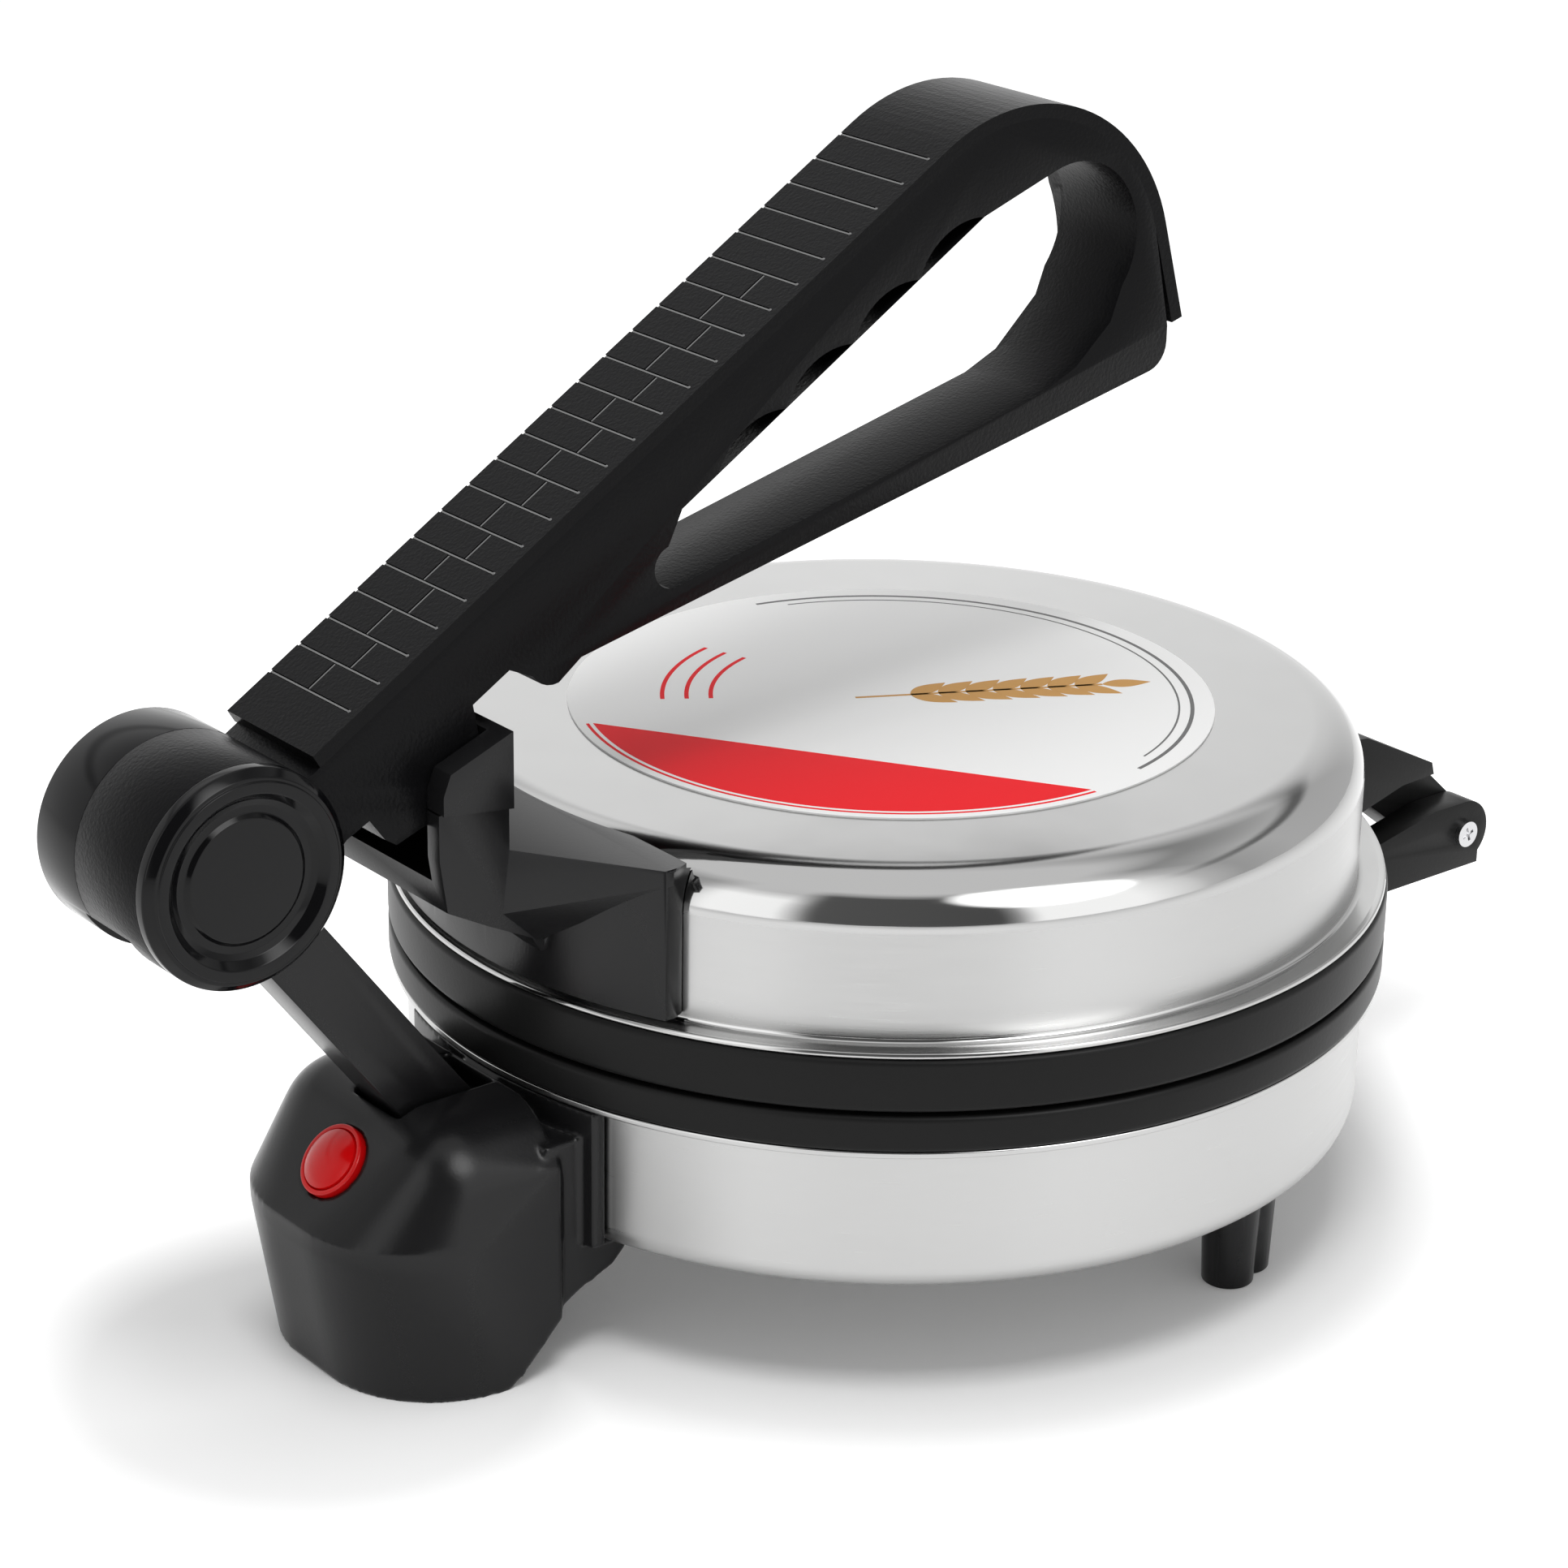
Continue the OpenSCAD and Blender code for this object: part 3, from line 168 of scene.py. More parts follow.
# colour, roughness, metal, specular level and grain of each plain finish
FINISHES = {
    "ring_black": ((0.011, 0.011, 0.011), 0.36, 0.0, 0.12, (900.0, 0.12, 0.0002)),
    "plate_alloy": ((0.03, 0.03, 0.032), 0.42, 0.3, 0.5, (700.0, 0.1, 0.0002)),
    "heater_tube": ((0.2, 0.19, 0.18), 0.4, 1.0, 0.5, (500.0, 0.1, 0.0002)),
    "zinc": ((0.6, 0.6, 0.61), 0.28, 1.0, 0.5, (900.0, 0.06, 0.0001)),
    "ceramic": ((0.8, 0.78, 0.72), 0.6, 0.0, 0.5, (600.0, 0.1, 0.0002)),
    "housing_black": ((0.0085, 0.0085, 0.009), 0.26, 0.0, 0.26, (1500.0, 0.1, 0.0002)),
    "lens_red": ((0.6, 0.003, 0.004), 0.16, 0.0, 0.3, (400.0, 0.03, 0.0001)),
    "lamp_white": ((0.8, 0.78, 0.72), 0.5, 0.0, 0.5, (600.0, 0.1, 0.0002)),
    "soft_black": ((0.012, 0.012, 0.012), 0.7, 0.0, 0.15, (900.0, 0.2, 0.0002)),
    "badge_white": ((0.84, 0.84, 0.835), 0.45, 0.0, 0.2, (500.0, 0.03, 0.0001)),
    "badge_red": ((0.8, 0.008, 0.015), 0.5, 0.0, 0.08, (500.0, 0.03, 0.0001)),
    "badge_tan": ((0.56, 0.3, 0.09), 0.5, 0.0, 0.1, (500.0, 0.05, 0.0001)),
    "badge_grey": ((0.1, 0.1, 0.1), 0.45, 0.0, 0.3, (500.0, 0.05, 0.0001)),
    "handle_black": ((0.005, 0.005, 0.0055), 0.3, 0.0, 0.08, (1100.0, 0.35, 0.0003)),
    # pale grey of the cover's groove bars and dots: a painted highlight
    "groove_highlight_grey": ((0.16, 0.16, 0.16), 0.4, 0.0, 0.3, (900.0, 0.1, 0.0001)),
    "barrel_gloss": ((0.003, 0.003, 0.0035), 0.1, 0.0, 0.2, (300.0, 0.02, 0.0001)),
}
MATS = {name: plain(name, *finish) for name, finish in FINISHES.items()}
MATS["steel"] = brushed("steel", (0.49, 0.49, 0.487), 0.3, 0.07, 0.22)

SLOT_OF = {part["node"]: part["material_slot"] for part in frame["record"]["subparts"]}
BODY_OF = {node: body for body, nodes in frame["record"]["behaviour"]["bodies"].items() for node in nodes}
for node, slot_name in SLOT_OF.items():
    NODES[node].data.materials.clear()
    NODES[node].data.materials.append(MATS[slot_name])


# Mesh helpers

def link(obj):
    bpy.context.scene.collection.objects.link(obj)
    return obj


def smooth(mesh, angle):
    mesh.shade_smooth()
    mesh.set_sharp_from_angle(angle=math.radians(angle))


def piece_from(bm, name):
    """A new object from a finished bmesh, its faces turned outward."""
    bmesh.ops.recalc_face_normals(bm, faces=bm.faces)
    mesh = bpy.data.meshes.new(name)
    bm.to_mesh(mesh)
    bm.free()
    return link(bpy.data.objects.new(name, mesh))


def stand_in(obj, node):
    """A finer piece that takes a node's place, body and finish."""
    if not obj.data.materials:
        obj.data.materials.append(MATS[SLOT_OF[node]])
    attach(obj, BODY_OF[node])
    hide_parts(node)


def shaped_by(obj, *modifiers):
    """The object's mesh after the given modifiers, each (type, settings), one after the other."""
    for kind, settings in modifiers:
        modifier = obj.modifiers.new(kind.lower(), kind)
        for name, value in settings.items():
            setattr(modifier, name, value)
    mesh = bpy.data.meshes.new_from_object(obj.evaluated_get(bpy.context.evaluated_depsgraph_get()))
    obj.modifiers.clear()
    obj.data = mesh
    return mesh


# points nearer than this are one, in metres; faces flatter than this are one, and edges sharper
# than BEVEL_FROM are rounded, in degrees
SAME_POINT, FLAT, BEVEL_FROM = 2e-6, 0.6, 32
SOFT_SMOOTH = 40


def softened(node, width, segments):
    """The node's own mesh with its sharp edges rounded by width mm, as moulded edges are."""
    mesh = NODES[node].data.copy()
    bm = bmesh.new()
    bm.from_mesh(mesh)
    bmesh.ops.remove_doubles(bm, verts=bm.verts, dist=SAME_POINT)
    bmesh.ops.dissolve_limit(bm, angle_limit=math.radians(FLAT), verts=bm.verts, edges=bm.edges)
    bm.to_mesh(mesh)
    bm.free()
    obj = link(bpy.data.objects.new(node + "_soft", mesh))
    shaped = shaped_by(obj, ("BEVEL", {"width": width * MM, "segments": segments, "limit_method": "ANGLE",
                                       "angle_limit": math.radians(BEVEL_FROM)}))
    shaped.name = node + "_soft"
    smooth(shaped, SOFT_SMOOTH)
    stand_in(obj, node)


# a bend of this many degrees between neighbours marks an edge, which reaches this many points out
EDGE_BEND, EDGE_REACH = 9, 2
RELAX, EDGE_ROUNDS, KEPT_SHARE = 0.5, 2, 0.5


def open_ground(mesh):
    """Points of a mesh that lie away from any real edge."""
    normals = np.array([v.normal[:] for v in mesh.vertices])
    ends = np.array([e.vertices[:] for e in mesh.edges])
    cosines = (normals[ends[:, 0]] * normals[ends[:, 1]]).sum(axis=1)
    bends = np.degrees(np.arccos(np.clip(cosines, -1, 1)))
    worst = np.zeros(len(mesh.vertices))
    for column in (0, 1):
        np.maximum.at(worst, ends[:, column], bends)
    for _ in range(EDGE_REACH):
        spread = worst.copy()
        np.maximum.at(spread, ends[:, 0], worst[ends[:, 1]])
        np.maximum.at(spread, ends[:, 1], worst[ends[:, 0]])
        worst = spread
    return [int(i) for i in np.nonzero(worst < EDGE_BEND)[0]]


def cast(node, voxel, rounds):
    """The node's shape remeshed by voxel mm: facets flow together and edges stay, a little rounded."""
    obj = link(bpy.data.objects.new(node + "_cast", NODES[node].data.copy()))
    mesh = shaped_by(obj, ("REMESH", {"mode": "VOXEL", "voxel_size": voxel * MM}),
                     ("SMOOTH", {"factor": RELAX, "iterations": EDGE_ROUNDS}))
    group = obj.vertex_groups.new(name="open")
    group.add(open_ground(mesh), 1.0, "REPLACE")
    mesh = shaped_by(obj, ("SMOOTH", {"factor": RELAX, "iterations": rounds, "vertex_group": "open"}),
                     ("DECIMATE", {"ratio": KEPT_SHARE}))
    obj.vertex_groups.clear()
    mesh.name = node + "_cast"
    mesh.shade_smooth()
    stand_in(obj, node)


# a rounding takes up at most this share of each side
NEARLY_HALF = 0.499
# rim points nearer than this are one, in metres
WELD = 1e-7


def fillet(points, steps):
    """A closed outline of corners (r, z, radius), with each corner rounded by its radius."""
    out = []
    count = len(points)
    for i, (x, z, radius) in enumerate(points):
        here = Vector((x, z))
        back = Vector(points[i - 1][:2]) - here
        ahead = Vector(points[(i + 1) % count][:2]) - here
        if radius <= 0:
            out.append((x, z))
            continue
        half = back.angle(ahead) / 2
        run = min(radius / math.tan(half), back.length * NEARLY_HALF, ahead.length * NEARLY_HALF)
        start, end = here + back.normalized() * run, here + ahead.normalized() * run
        for k in range(steps + 1):
            t = k / steps
            out.append(tuple((1 - t) ** 2 * start + 2 * t * (1 - t) * here + t ** 2 * end))
    return out


def revolve(name, outline, centre, segments, axis="Z", angle=30):
    """A closed outline of (radius, height) points in mm, turned round an axis through centre."""
    bm = bmesh.new()
    rings = []
    for k in range(segments):
        turn_by = 2 * math.pi * k / segments
        c, s = math.cos(turn_by), math.sin(turn_by)
        ring = []
        for r, h in outline:
            spot = (r * c, r * s, h) if axis == "Z" else (h, r * c, r * s)
            ring.append(bm.verts.new([(spot[i] + centre[i]) * MM for i in range(3)]))
        rings.append(ring)
    count = len(outline)
    for k in range(segments):
        a, b = rings[k], rings[(k + 1) % segments]
        for i in range(count):
            j = (i + 1) % count
            bm.faces.new((a[i], b[i], b[j], a[j]))
    bmesh.ops.remove_doubles(bm, verts=bm.verts, dist=WELD)
    obj = piece_from(bm, name)
    smooth(obj.data, angle)
    return obj


# Pan, lid and rings

# heights and radii of the stack in mm, as the record's frame has them
AXIS = (0, AXIS_Y, 0)
# radius of an outline's end on the axis, just off it
CENTRE_R = 0.01
SHEET = 0.8
PAN_R, PAN_LOW, PAN_CORNER, RIM_Z = 120.5, 30.0, 6.2, 68.0
RING_R, RING_W, RING_CORNER, RING_CLEAR = 125.0, 12.7, 1.6, 0.02
LOW_RING_TOP, UP_RING_LOW, UP_TOP = 77.0, 78.0, 91.0
LID_R, LID_FLAT_R, LID_TOP, SHOULDER_H = 117.4, 104.0, 131.0, 13.0
SHOULDER_STEPS = 20
SKIN_SEGMENTS, CAP_SEGMENTS, LENS_SEGMENTS = 256, 128, 96


def steel_pan():
    """Pan: a rounded bottom corner, a flange under the ring and a small bead at its end."""
    bead, inside, flange_low = RING_R - 1.3, PAN_R - SHEET, RIM_Z - 1.5
    outline = fillet([
        (CENTRE_R, PAN_LOW, 0), (PAN_R, PAN_LOW, PAN_CORNER), (PAN_R, flange_low, 1.2),
        (bead - 0.4, flange_low, 0.4), (bead + 0.8, flange_low - 0.2, 0.6), (bead + 0.8, RIM_Z, 0.5),
        (inside, RIM_Z, 0.4), (inside, PAN_LOW + SHEET, PAN_CORNER - SHEET),
        (CENTRE_R, PAN_LOW + SHEET, 0)], 8)
    stand_in(revolve("pan_shell", outline, AXIS, SKIN_SEGMENTS), "base_pan")


def steel_lid():
    """Lid cover: a flat top, an elliptic shoulder, a wall and a beaded flange on the ring."""
    bead = RING_R - 1.4
    angles = [math.pi / 2 * k / SHOULDER_STEPS for k in range(SHOULDER_STEPS + 1)]
    shoulder = [(LID_FLAT_R + (LID_R - LID_FLAT_R) * math.cos(a),
                 LID_TOP - SHOULDER_H + SHOULDER_H * math.sin(a)) for a in angles]
    skirt = fillet([
        (bead, UP_TOP, 0.4), (bead + 0.9, UP_TOP + 0.4, 0.5), (bead + 0.6, UP_TOP + 1.6, 0.5),
        (bead - 1.0, UP_TOP + 1.3, 0.5), (LID_R, UP_TOP + 0.9, 1.4), (LID_R, UP_TOP + 12, 0)], 6)[:-1]
    inner = [(CENTRE_R, LID_TOP - SHEET), (LID_FLAT_R, LID_TOP - SHEET),
             (LID_R - SHEET, LID_TOP - SHOULDER_H), (LID_R - SHEET, UP_TOP)]
    outline = skirt + shoulder + [(CENTRE_R, LID_TOP)] + inner
    stand_in(revolve("lid_shell", outline, AXIS, SKIN_SEGMENTS), "lid_cover")


def rim_ring(name, node, low, top):
    """Black ring with rounded outer corners."""
    inside, outside = RING_R - RING_W, RING_R - RING_CLEAR
    outline = fillet([(inside, low, 0.5), (outside, low, RING_CORNER), (outside, top, RING_CORNER),
                      (inside, top, 0.5)], 6)
    stand_in(revolve(name, outline, AXIS, SKIN_SEGMENTS), node)


# Barrel cap and lamp lens

BARREL = (0, AXIS_Y - 199.8, 140.3)
CAP_FROM, CAP_TO = 18.5, 23.5


def barrel_cap():
    """Right end of the barrel: chamfered rim, moat and a plain middle disc."""
    outline = fillet([
        (CENTRE_R, CAP_FROM, 0), (25.5, CAP_FROM, 0.3), (25.5, CAP_TO - 2.4, 0.9), (23.6, CAP_TO - 0.5, 0.7),
        (22.9, CAP_TO - 0.5, 0.2), (22.7, CAP_TO, 0.3), (20.2, CAP_TO, 0.7), (18.4, CAP_TO - 1.9, 0.6),
        (16.9, CAP_TO - 2.4, 0.8), (15.2, CAP_TO - 2.4, 0.6), (14.2, CAP_TO - 1.5, 0.6),
        (CENTRE_R, CAP_TO - 1.5, 0)], 5)
    cap = revolve("barrel_end", outline, BARREL, CAP_SEGMENTS, axis="X", angle=SOFT_SMOOTH)
    stand_in(cap, "barrel_right_cap")


# the front housing's slope and the lamp on it
LAMP_SLOPE = math.radians(47.75)
LAMP_PLACE = (0, AXIS_Y - 165.97, 53.58)
LENS_R, LENS_RIM, LENS_UNDER = 9.0, 1.5, -1.2
LENS_NECK_R, LENS_FOOT = 7.3, -3.6
DOME_R, DOME_TOP, DOME_EDGE, DOME_STEPS = 16.0, 3.6, 7.4, 12


def lamp_lens():
    """Red lens: a rim, a fine groove and a low dome."""
    dome = []
    for k in range(DOME_STEPS + 1):
        r = DOME_EDGE * (1 - k / DOME_STEPS)
        dome.append((max(r, CENTRE_R), DOME_TOP - DOME_R + math.sqrt(DOME_R ** 2 - r ** 2)))
    outline = fillet([
        (CENTRE_R, LENS_FOOT, 0), (LENS_NECK_R, LENS_FOOT, 0.3), (LENS_NECK_R, LENS_UNDER, 0),
        (LENS_R, LENS_UNDER, 0.2), (LENS_R, LENS_RIM, 0.5), (LENS_R - 1.1, LENS_RIM, 0.4),
        (LENS_R - 1.4, 0.9, 0.2)], 4) + dome
    obj = revolve("lens_dome", outline, (0, 0, 0), LENS_SEGMENTS, angle=SOFT_SMOOTH)
    obj.data.transform(Matrix.Translation(Vector(LAMP_PLACE) * MM) @ Matrix.Rotation(LAMP_SLOPE, 4, "X"))
    stand_in(obj, "lamp_lens")


# Printed design on the badge, round the plates' axis

BADGE_TOP, BADGE_R = 131.4, 80.0
PRINT_SUNK, PRINT_PROUD = 0.05, 0.04
ARC_STEPS = 64
FIELD_FROM, FIELD_TO = -112, -2
EAR_HEADING, EAR_FOOT = 62.0, (-4.0, -8.0)
EAR_BARE, EAR_PITCH, EAR_PAIRS, EAR_LEAN = 14, 7.0, 7, 34
# a grain's widest place lies nearer its foot the less FULLNESS is
GRAIN_L, GRAIN_W, GRAIN_STEPS, FULLNESS = 12.5, 5.2, 20, 0.8
STEM_HALF = 0.5


def prism(bm, outline, low, high):
    """A closed flat outline in XY, drawn up from low to high; all in mm."""
    bottom = [bm.verts.new((x * MM, y * MM, low * MM)) for x, y in outline]
    top = [bm.verts.new((x * MM, y * MM, high * MM)) for x, y in outline]
    bm.faces.new(bottom[::-1])
    bm.faces.new(top)
    for i in range(len(outline)):
        j = (i + 1) % len(outline)
        bm.faces.new((bottom[i], bottom[j], top[j], top[i]))


def arc(radius, start, end):
    """Points of an arc between two angles in degrees; with its chord, a segment of a disc."""
    angles = [math.radians(start + (end - start) * k / ARC_STEPS) for k in range(ARC_STEPS + 1)]
    return [(radius * math.cos(a), radius * math.sin(a)) for a in angles]


def band(radius_in, radius_out, start, end):
    """Outline of a stretch of a ring, between two angles in degrees."""
    return arc(radius_out, start, end) + arc(radius_in, start, end)[::-1]


def grain_outline(x, y, heading):
    """Outline of one pointed grain, its foot at x, y."""
    c, s = math.cos(math.radians(heading)), math.sin(math.radians(heading))
    out = []
    for k in range(2 * GRAIN_STEPS):
        t = k / GRAIN_STEPS if k <= GRAIN_STEPS else 2 - k / GRAIN_STEPS
        side = 1 if k <= GRAIN_STEPS else -1
        half = GRAIN_W / 2 * math.sin(math.pi * t ** FULLNESS) * side
        along = t * GRAIN_L
        out.append((x + along * c - half * s, y + along * s + half * c))
    return out


def print_on_badge(name, material, outlines):
    """Thin printed shapes on the badge."""
    bm = bmesh.new()
    for outline in outlines:
        prism(bm, [(x, y + AXIS_Y) for x, y in outline], BADGE_TOP - PRINT_SUNK, BADGE_TOP + PRINT_PROUD)
    obj = piece_from(bm, name)
    obj.data.materials.append(MATS[material])
    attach(obj, "lid")


def badge_print():
    """A plain ornament: a red part of the disc, fine arcs, an ear of grain and small bands."""
    field = [arc(BADGE_R - 4, FIELD_FROM, FIELD_TO), band(BADGE_R - 3, BADGE_R - 2.2, FIELD_FROM, FIELD_TO)]
    print_on_badge("badge_red_field", "badge_red", field)
    arcs = [band(BADGE_R - 6, BADGE_R - 5, 12, 168), band(BADGE_R - 9, BADGE_R - 8.5, 18, 162)]
    print_on_badge("badge_fine_arcs", "badge_grey", arcs)
    a = math.radians(EAR_HEADING)
    ahead = Vector((math.cos(a), math.sin(a)))
    foot = Vector(EAR_FOOT)
    tip = EAR_BARE + EAR_PAIRS * EAR_PITCH
    grains = []
    for k in range(EAR_PAIRS):
        x, y = foot + ahead * (EAR_BARE + k * EAR_PITCH)
        grains += [grain_outline(x, y, EAR_HEADING + lean) for lean in (-EAR_LEAN, EAR_LEAN)]
    grains.append(grain_outline(*(foot + ahead * tip), EAR_HEADING))
    aside = Vector((-ahead.y, ahead.x)) * STEM_HALF
    stem = [tuple(corner) for corner in (foot + aside, foot - aside, foot - aside + ahead * tip,
                                         foot + aside + ahead * tip)]
    print_on_badge("badge_grain_ear", "badge_tan", grains)
    print_on_badge("badge_grain_stem", "badge_tan", [stem])
    rows = [band(r, r + 1.1, 196, 236) for r in (44, 50, 56)]
    print_on_badge("badge_side_bands", "badge_red", rows)


# Grooves of the handle's cover, and the painted highlights laid in them

# the cover's outer face runs from the bend down to the barrel
SLOPE = math.radians(31.6)
BEND = (24.0 + AXIS_Y, 231.2)
BEND_R = 48.0
ROW_PITCH, ROW_FIRST, ROWS, PLAIN_ROWS = 9.1, 4.5, 22, 5
# the pale bars on the groove floors are painted highlights
GROOVE_D, LINE_W, LINE_H, LINE_SUNK = 0.5, 0.42, 0.34, 0.05
LINE_FROM, LINE_TO, MIDDLE_SHIFT, MIDDLE_END = -17.6, 13.8, 2.6, 0.5
# the pale dot at each row's near end is a painted highlight
HIGHLIGHT_DOT_R, HIGHLIGHT_DOT_OUT, HIGHLIGHT_DOT_SUNK = 0.55, 0.35, 0.32
BAR_FACES = ((0, 3, 2, 1), (4, 5, 6, 7), (0, 1, 5, 4), (1, 2, 6, 5), (2, 3, 7, 6), (3, 0, 4, 7))


def on_cover(x, down, up):
    """Place on the cover: across, down its length from the bend, and out from its face."""
    y = BEND[0] - math.sin(SLOPE) * (BEND_R + up) - math.cos(SLOPE) * down
    z = BEND[1] + math.cos(SLOPE) * (BEND_R + up) - math.sin(SLOPE) * down
    return Vector((x, y, z)) * MM


def cover_bar(bm, x0, x1, d0, d1):
    """A thin bar on a groove's floor."""
    low, high = -GROOVE_D - LINE_SUNK, -GROOVE_D + LINE_H
    corners = ((x0, d0), (x1, d0), (x1, d1), (x0, d1))
    v = [bm.verts.new(on_cover(x, d, h)) for h in (low, high) for x, d in corners]
    for face in BAR_FACES:
        bm.faces.new([v[i] for i in face])


def cover_highlight_lines():
    """Pale bars on the floors of the cover's grooves, and a small pale dot at the near end of each row:
    painted highlights that stand in for the light lines and bright dots the grooves' edges catch.
    """
    bm = bmesh.new()
    row_starts = [ROW_FIRST + i * ROW_PITCH for i in range(ROWS)]
    for i, d in enumerate(row_starts):
        cover_bar(bm, LINE_FROM, LINE_TO, d - LINE_W / 2, d + LINE_W / 2)
        if PLAIN_ROWS <= i <= ROWS - 2:
            x = -MIDDLE_SHIFT if i % 2 == 0 else MIDDLE_SHIFT
            cover_bar(bm, x - LINE_W / 2, x + LINE_W / 2, d + MIDDLE_END, d + ROW_PITCH - MIDDLE_END)
    for d in row_starts:
        highlight_dot = bmesh.ops.create_icosphere(bm, subdivisions=2, radius=HIGHLIGHT_DOT_R * MM)
        bmesh.ops.translate(bm, verts=highlight_dot["verts"], vec=on_cover(LINE_TO + HIGHLIGHT_DOT_OUT, d, -HIGHLIGHT_DOT_SUNK))
    obj = piece_from(bm, "cover_highlight_lines")
    smooth(obj.data, SOFT_SMOOTH)
    obj.data.materials.append(MATS["groove_highlight_grey"])
    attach(obj, "handle")


steel_pan()
steel_lid()
rim_ring("lower_rim_ring", "base_ring", RIM_Z, LOW_RING_TOP)
rim_ring("upper_rim_ring", "lid_ring", UP_RING_LOW, UP_TOP)
barrel_cap()
softened("handle_body", 0.7, 2)
softened("lid_bracket", 0.7, 3)
cast("front_housing", 0.65, 24)
softened("link_arm", 0.9, 3)
softened("barrel_left_cup", 0.9, 3)
for moulded in ("lid_hinge_bracket", "base_hinge_bracket", "rear_feet"):
    softened(moulded, 0.8, 3)
lamp_lens()
badge_print()
cover_highlight_lines()


# Floor

FLOOR_HALF = 4.0
# glow added to the floor for rays that show it, beside the object and further out; the weaker glow beside
# the object is painted shade round its foot
PAINTED_SHADE_LIFT, FAR_LIFT = 0.06, 0.45
# how far from the pan's and the housing's rounds each of them holds, in metres
NEAR_END, FAR_START = 0.01, 0.045
PAN_SPOT, PAN_SPOT_R = (0.0, AXIS_Y * MM, 0.0), 0.12
HOUSING_SPOT, HOUSING_SPOT_R = (0.0, -0.15, 0.0), 0.045


def seen_rays(nt):
    """1 for rays that show the background: from the camera, a mirror or clear plastic."""
    path = nt.nodes.new("ShaderNodeLightPath")
    total = path.outputs["Is Camera Ray"]
    for name in ("Is Glossy Ray", "Is Transmission Ray"):
        total = math_node(nt, "MAXIMUM", total, path.outputs[name])
    return total


def whiten_floor_with_painted_shade(nt, bsdf):
    """A glow for seen rays only brings the floor to white; kept weak under and beside the object, it paints
    shade there on top of the floor's own shadow.
    """
    coord = nt.nodes.new("ShaderNodeTexCoord")

    def clear_of(centre, radius):
        node = nt.nodes.new("ShaderNodeVectorMath")
        node.operation = "DISTANCE"
        node.inputs[1].default_value = centre
        nt.links.new(coord.outputs["Object"], node.inputs[0])
        return math_node(nt, "SUBTRACT", node.outputs["Value"], radius)

    # the glow fades towards the pan's and the housing's rounds: painted shade round the object's foot
    away = math_node(nt, "MINIMUM", clear_of(PAN_SPOT, PAN_SPOT_R), clear_of(HOUSING_SPOT, HOUSING_SPOT_R))
    amount = map_range(nt, away, PAINTED_SHADE_LIFT, FAR_LIFT, NEAR_END, FAR_START)
    glow = nt.nodes.new("ShaderNodeEmission")
    nt.links.new(math_node(nt, "MULTIPLY", seen_rays(nt), amount), glow.inputs["Strength"])
    both = nt.nodes.new("ShaderNodeAddShader")
    nt.links.new(bsdf.outputs[0], both.inputs[0])
    nt.links.new(glow.outputs[0], both.inputs[1])
    nt.links.new(both.outputs[0], nt.nodes["Material Output"].inputs["Surface"])


def make_floor():
    mesh = bpy.data.meshes.new("floor")
    corners = [(x * FLOOR_HALF, y * FLOOR_HALF, 0) for x, y in ((-1, -1), (1, -1), (1, 1), (-1, 1))]
    mesh.from_pydata(corners, [], [(0, 1, 2, 3)])
    mat, nt, bsdf = new_material("floor")
    bsdf.inputs["Base Color"].default_value = (0.97, 0.97, 0.97, 1.0)
    bsdf.inputs["Roughness"].default_value = 0.9
    bsdf.inputs["Specular IOR Level"].default_value = 0.0
    whiten_floor_with_painted_shade(nt, bsdf)
    mesh.materials.append(mat)
    link(bpy.data.objects.new("floor", mesh))


make_floor()


# World and lamps

WORLD_LIGHT = 0.5
# the photographer's side of the object, and their camera's right, as flat directions
TOWARDS = (0.757, -0.653, 0.0)
RIGHTWARDS = (0.653, 0.757, 0.0)
# the middle of the soft lamp, and its spread as cosines from its middle
LAMP_FROM, LAMP_EDGE, LAMP_CORE = (0.705, 0.052, 0.707), 0.94, 0.985
SCREEN_LIGHT, LAMP_LIGHT = 0.8, 5.0
# levels by the azimuth in degrees, 0 behind the photographer and more to the camera's right
BACKDROP = [(-180, 1.0), (-68.4, 0.55), (-54, 0.6), (-43.2, 1.0), (-25.2, 0.95), (-16.2, 0.15),
            (27, 0.12), (36, 1.0), (75.6, 1.0), (90, 0.5), (144, 0.4), (180, 1.0)]
SCREENS = [(-180, 0.35), (-72, 0.35), (-57.6, 0.0), (-50.4, 0.0), (-41.4, 1.0), (-25.2, 1.0), (-18, 0.0),
           (30.6, 0.0), (36, 1.0), (61.2, 1.0), (79.2, 0.0), (108, 0.35), (180, 0.35)]
FAR_SIDE = [(-180, 1.0), (-108, 1.0), (-72, 0.0), (72, 0.0), (108, 1.0), (180, 1.0)]
# levels by the sine of the height
BACKDROP_REACH = [(0.0, 1.0), (0.8, 1.0), (0.9, 0.0), (1.0, 0.0)]
SCREEN_REACH = [(0.0, 1.0), (0.6, 1.0), (0.78, 0.0), (1.0, 0.0)]
DARK_LINE = [(0.0, 0.0), (0.46, 0.0), (0.5, 0.5), (0.53, 0.5), (0.58, 0.0), (1.0, 0.0)]


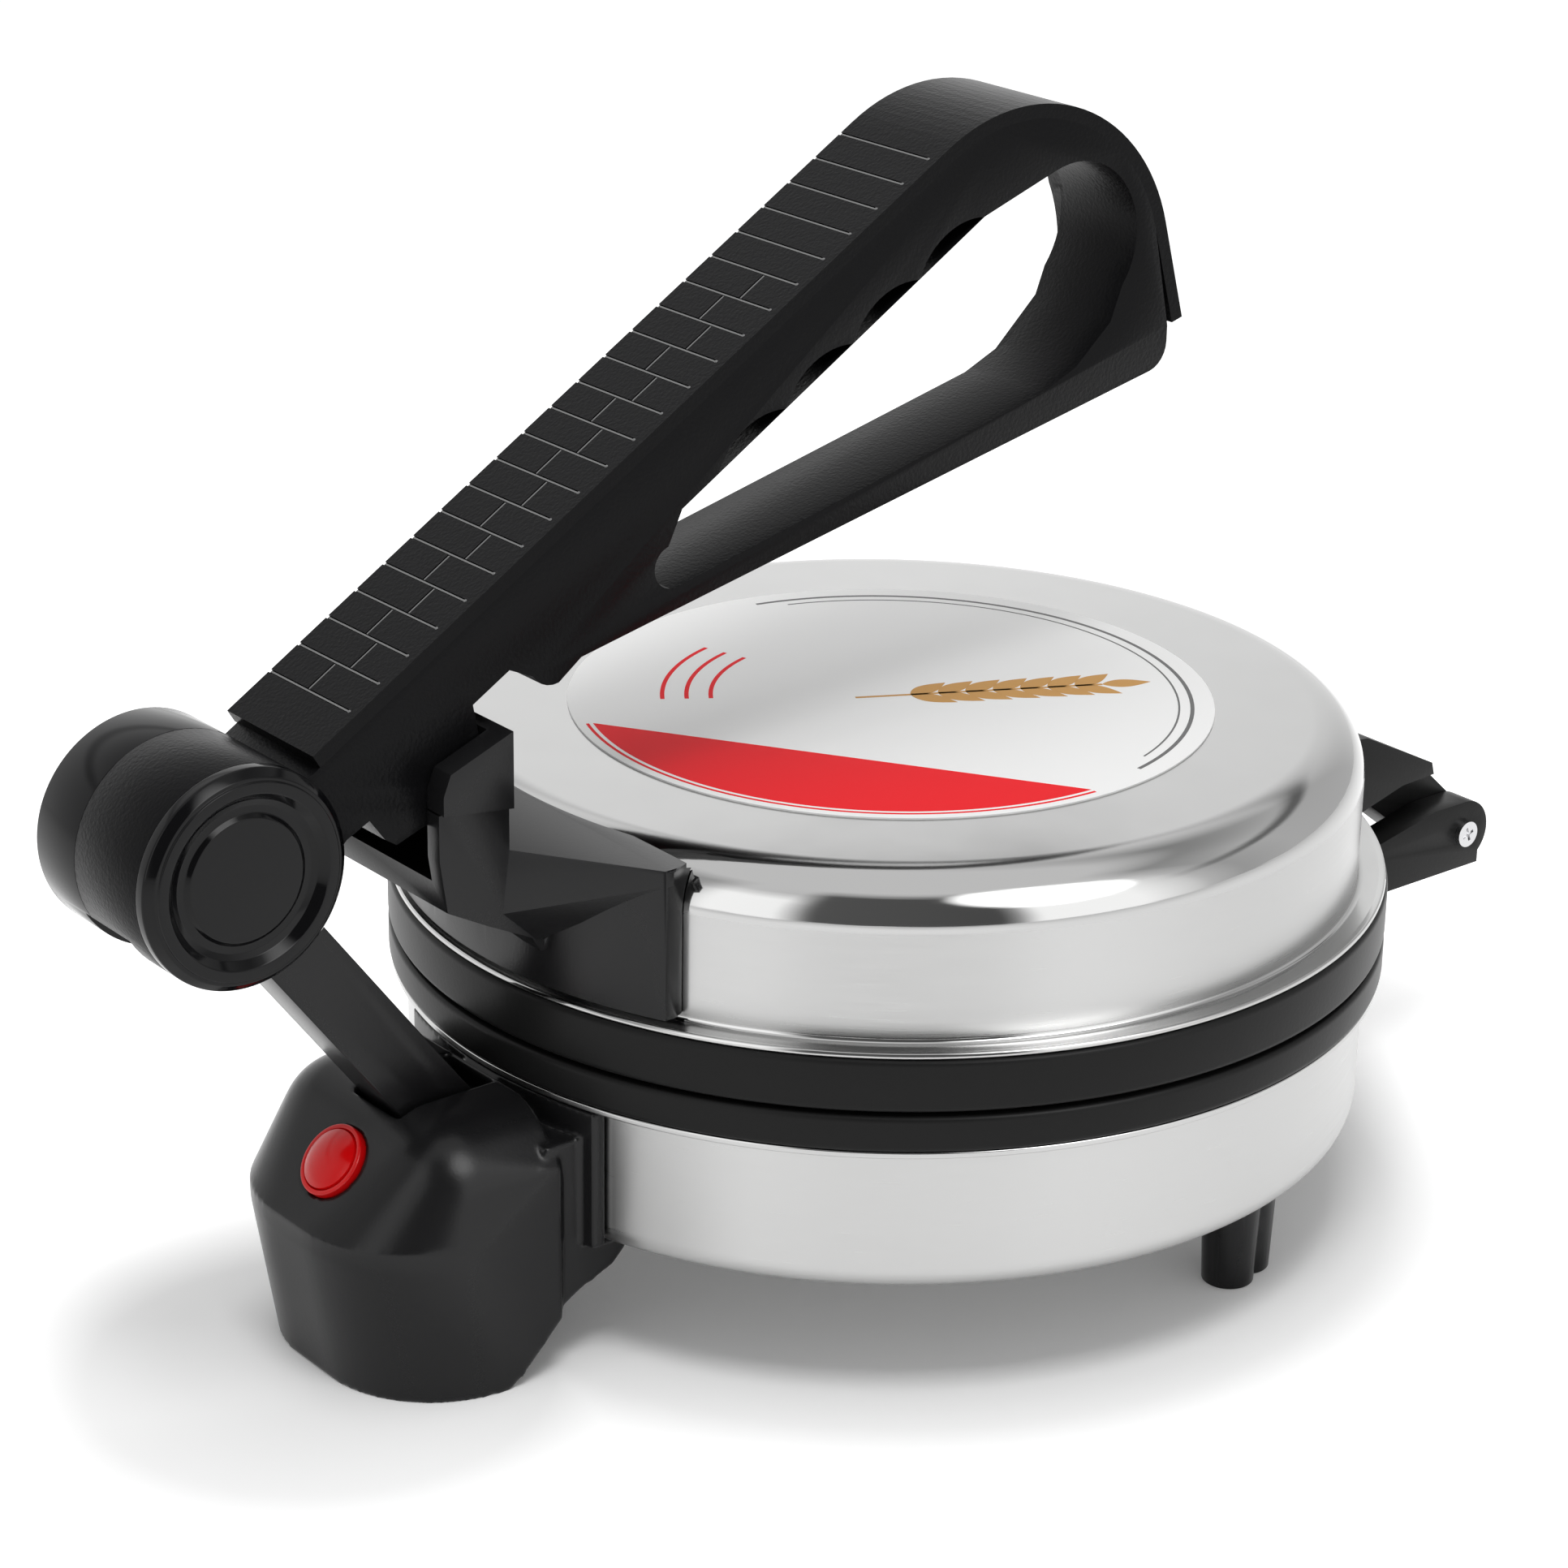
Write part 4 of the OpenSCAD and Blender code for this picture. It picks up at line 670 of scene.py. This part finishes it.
def studio(nt):
    """White, with a tall dark gap behind the photographer, bright screens beside it and a soft lamp."""
    coord = nt.nodes.new("ShaderNodeTexCoord")
    sep = nt.nodes.new("ShaderNodeSeparateXYZ")
    nt.links.new(coord.outputs["Generated"], sep.inputs["Vector"])
    height = sep.outputs["Z"]

    def along(direction):
        node = nt.nodes.new("ShaderNodeVectorMath")
        node.operation = "DOT_PRODUCT"
        node.inputs[1].default_value = direction
        nt.links.new(coord.outputs["Generated"], node.inputs[0])
        return node.outputs["Value"]

    turned = math_node(nt, "ARCTAN2", along(RIGHTWARDS), along(TOWARDS))
    place = map_range(nt, turned, 0.0, 1.0, -math.pi, math.pi)

    def by_azimuth(stops):
        return ramp(nt, place, [(degrees / 360 + 0.5, level) for degrees, level in stops])

    def product(a, b):
        return math_node(nt, "MULTIPLY", a, b)

    dimmed = math_node(nt, "SUBTRACT", 1.0, by_azimuth(BACKDROP))
    gap = product(ramp(nt, height, BACKDROP_REACH), dimmed)
    dark_line = product(ramp(nt, height, DARK_LINE), by_azimuth(FAR_SIDE))
    shaded = math_node(nt, "SUBTRACT", math_node(nt, "SUBTRACT", 1.0, gap), dark_line)
    screens = product(product(by_azimuth(SCREENS), ramp(nt, height, SCREEN_REACH)), SCREEN_LIGHT)
    lamp_stops = [(0.0, 0.0), (LAMP_EDGE, 0.0), (LAMP_CORE, 1.0), (1.0, 1.0)]
    lamp = product(ramp(nt, along(LAMP_FROM), lamp_stops), LAMP_LIGHT)
    return math_node(nt, "ADD", shaded, math_node(nt, "ADD", screens, lamp))


def make_world():
    """White for the camera, even light on surfaces, and the studio for mirrors."""
    world = bpy.data.worlds.new("world")
    bpy.context.scene.world = world
    world.use_nodes = True
    nt = world.node_tree
    nt.nodes.clear()
    path = nt.nodes.new("ShaderNodeLightPath")

    def background(strength):
        node = nt.nodes.new("ShaderNodeBackground")
        node.inputs["Color"].default_value = (1, 1, 1, 1)
        if isinstance(strength, float):
            node.inputs["Strength"].default_value = strength
        else:
            nt.links.new(strength, node.inputs["Strength"])
        return node.outputs[0]

    def choose(factor, a, b):
        node = nt.nodes.new("ShaderNodeMixShader")
        nt.links.new(factor, node.inputs["Fac"])
        nt.links.new(a, node.inputs[1])
        nt.links.new(b, node.inputs[2])
        return node.outputs[0]

    seen = math_node(nt, "MAXIMUM", path.outputs["Is Camera Ray"], path.outputs["Is Transmission Ray"])
    surface = choose(path.outputs["Is Glossy Ray"], background(WORLD_LIGHT), background(studio(nt)))
    out = nt.nodes.new("ShaderNodeOutputWorld")
    nt.links.new(choose(seen, surface, background(1.0)), out.inputs["Surface"])


def area(name, place, target, size, power):
    """A square lamp that mirrors don't see: they see the studio's own soft lamp."""
    data = bpy.data.lights.new(name, "AREA")
    data.shape = "RECTANGLE"
    data.size, data.size_y = size, size
    data.energy = power
    obj = link(bpy.data.objects.new(name, data))
    obj.visible_glossy = False
    obj.location = place
    direction = Vector(target) - Vector(place)
    obj.rotation_euler = direction.to_track_quat("-Z", "Y").to_euler()


make_world()
area("key", (0.475, -0.325, 1.334), (0, -0.05, 0.1), 0.4, 6.5)
area("top", (-0.1, -0.1, 1.6), (0, 0, 0.1), 0.9, 7.0)


# Camera, solved from the photo

# place from the plates' axis in mm, angles in degrees, focal length in pixels of the photo
CAM_PLACE = (727.63, -627.0, 492.16)
CAM_HEIGHT, CAM_AZIMUTH = 23.2244, 49.2484
CAM_YAW, CAM_PITCH, CAM_ROLL = 1.5531, 1.3818, -0.9232
CAM_FOCAL, PHOTO_W = 5102.9, 1932.0
SENSOR_W = 36.0


def turn(v, axis, deg):
    return Matrix.Rotation(math.radians(deg), 3, axis) @ v


def make_camera():
    """Look at the axis from the camera's height and azimuth, then turn by the solved small angles."""
    e, a = math.radians(CAM_HEIGHT), math.radians(CAM_AZIMUTH)
    fwd = -Vector((math.sin(a) * math.cos(e), -math.cos(a) * math.cos(e), math.sin(e)))
    right = Vector((math.cos(a), math.sin(a), 0))
    upright = Vector((0, 0, 1))
    fwd, right = turn(fwd, upright, CAM_YAW), turn(right, upright, CAM_YAW)
    up = right.cross(fwd)
    fwd, up = turn(fwd, right, CAM_PITCH), turn(up, right, CAM_PITCH)
    right, up = turn(right, fwd, CAM_ROLL), turn(up, fwd, CAM_ROLL)
    data = bpy.data.cameras.new("camera")
    data.sensor_width = SENSOR_W
    data.lens = CAM_FOCAL / PHOTO_W * SENSOR_W
    data.clip_start = 0.05
    obj = link(bpy.data.objects.new("camera", data))
    matrix = Matrix((right, up, -fwd)).transposed().to_4x4()
    matrix.translation = (Vector(CAM_PLACE) + Vector(AXIS)) * MM
    obj.matrix_world = matrix
    bpy.context.scene.camera = obj


make_camera()
bpy.context.scene.view_settings.view_transform = "Standard"
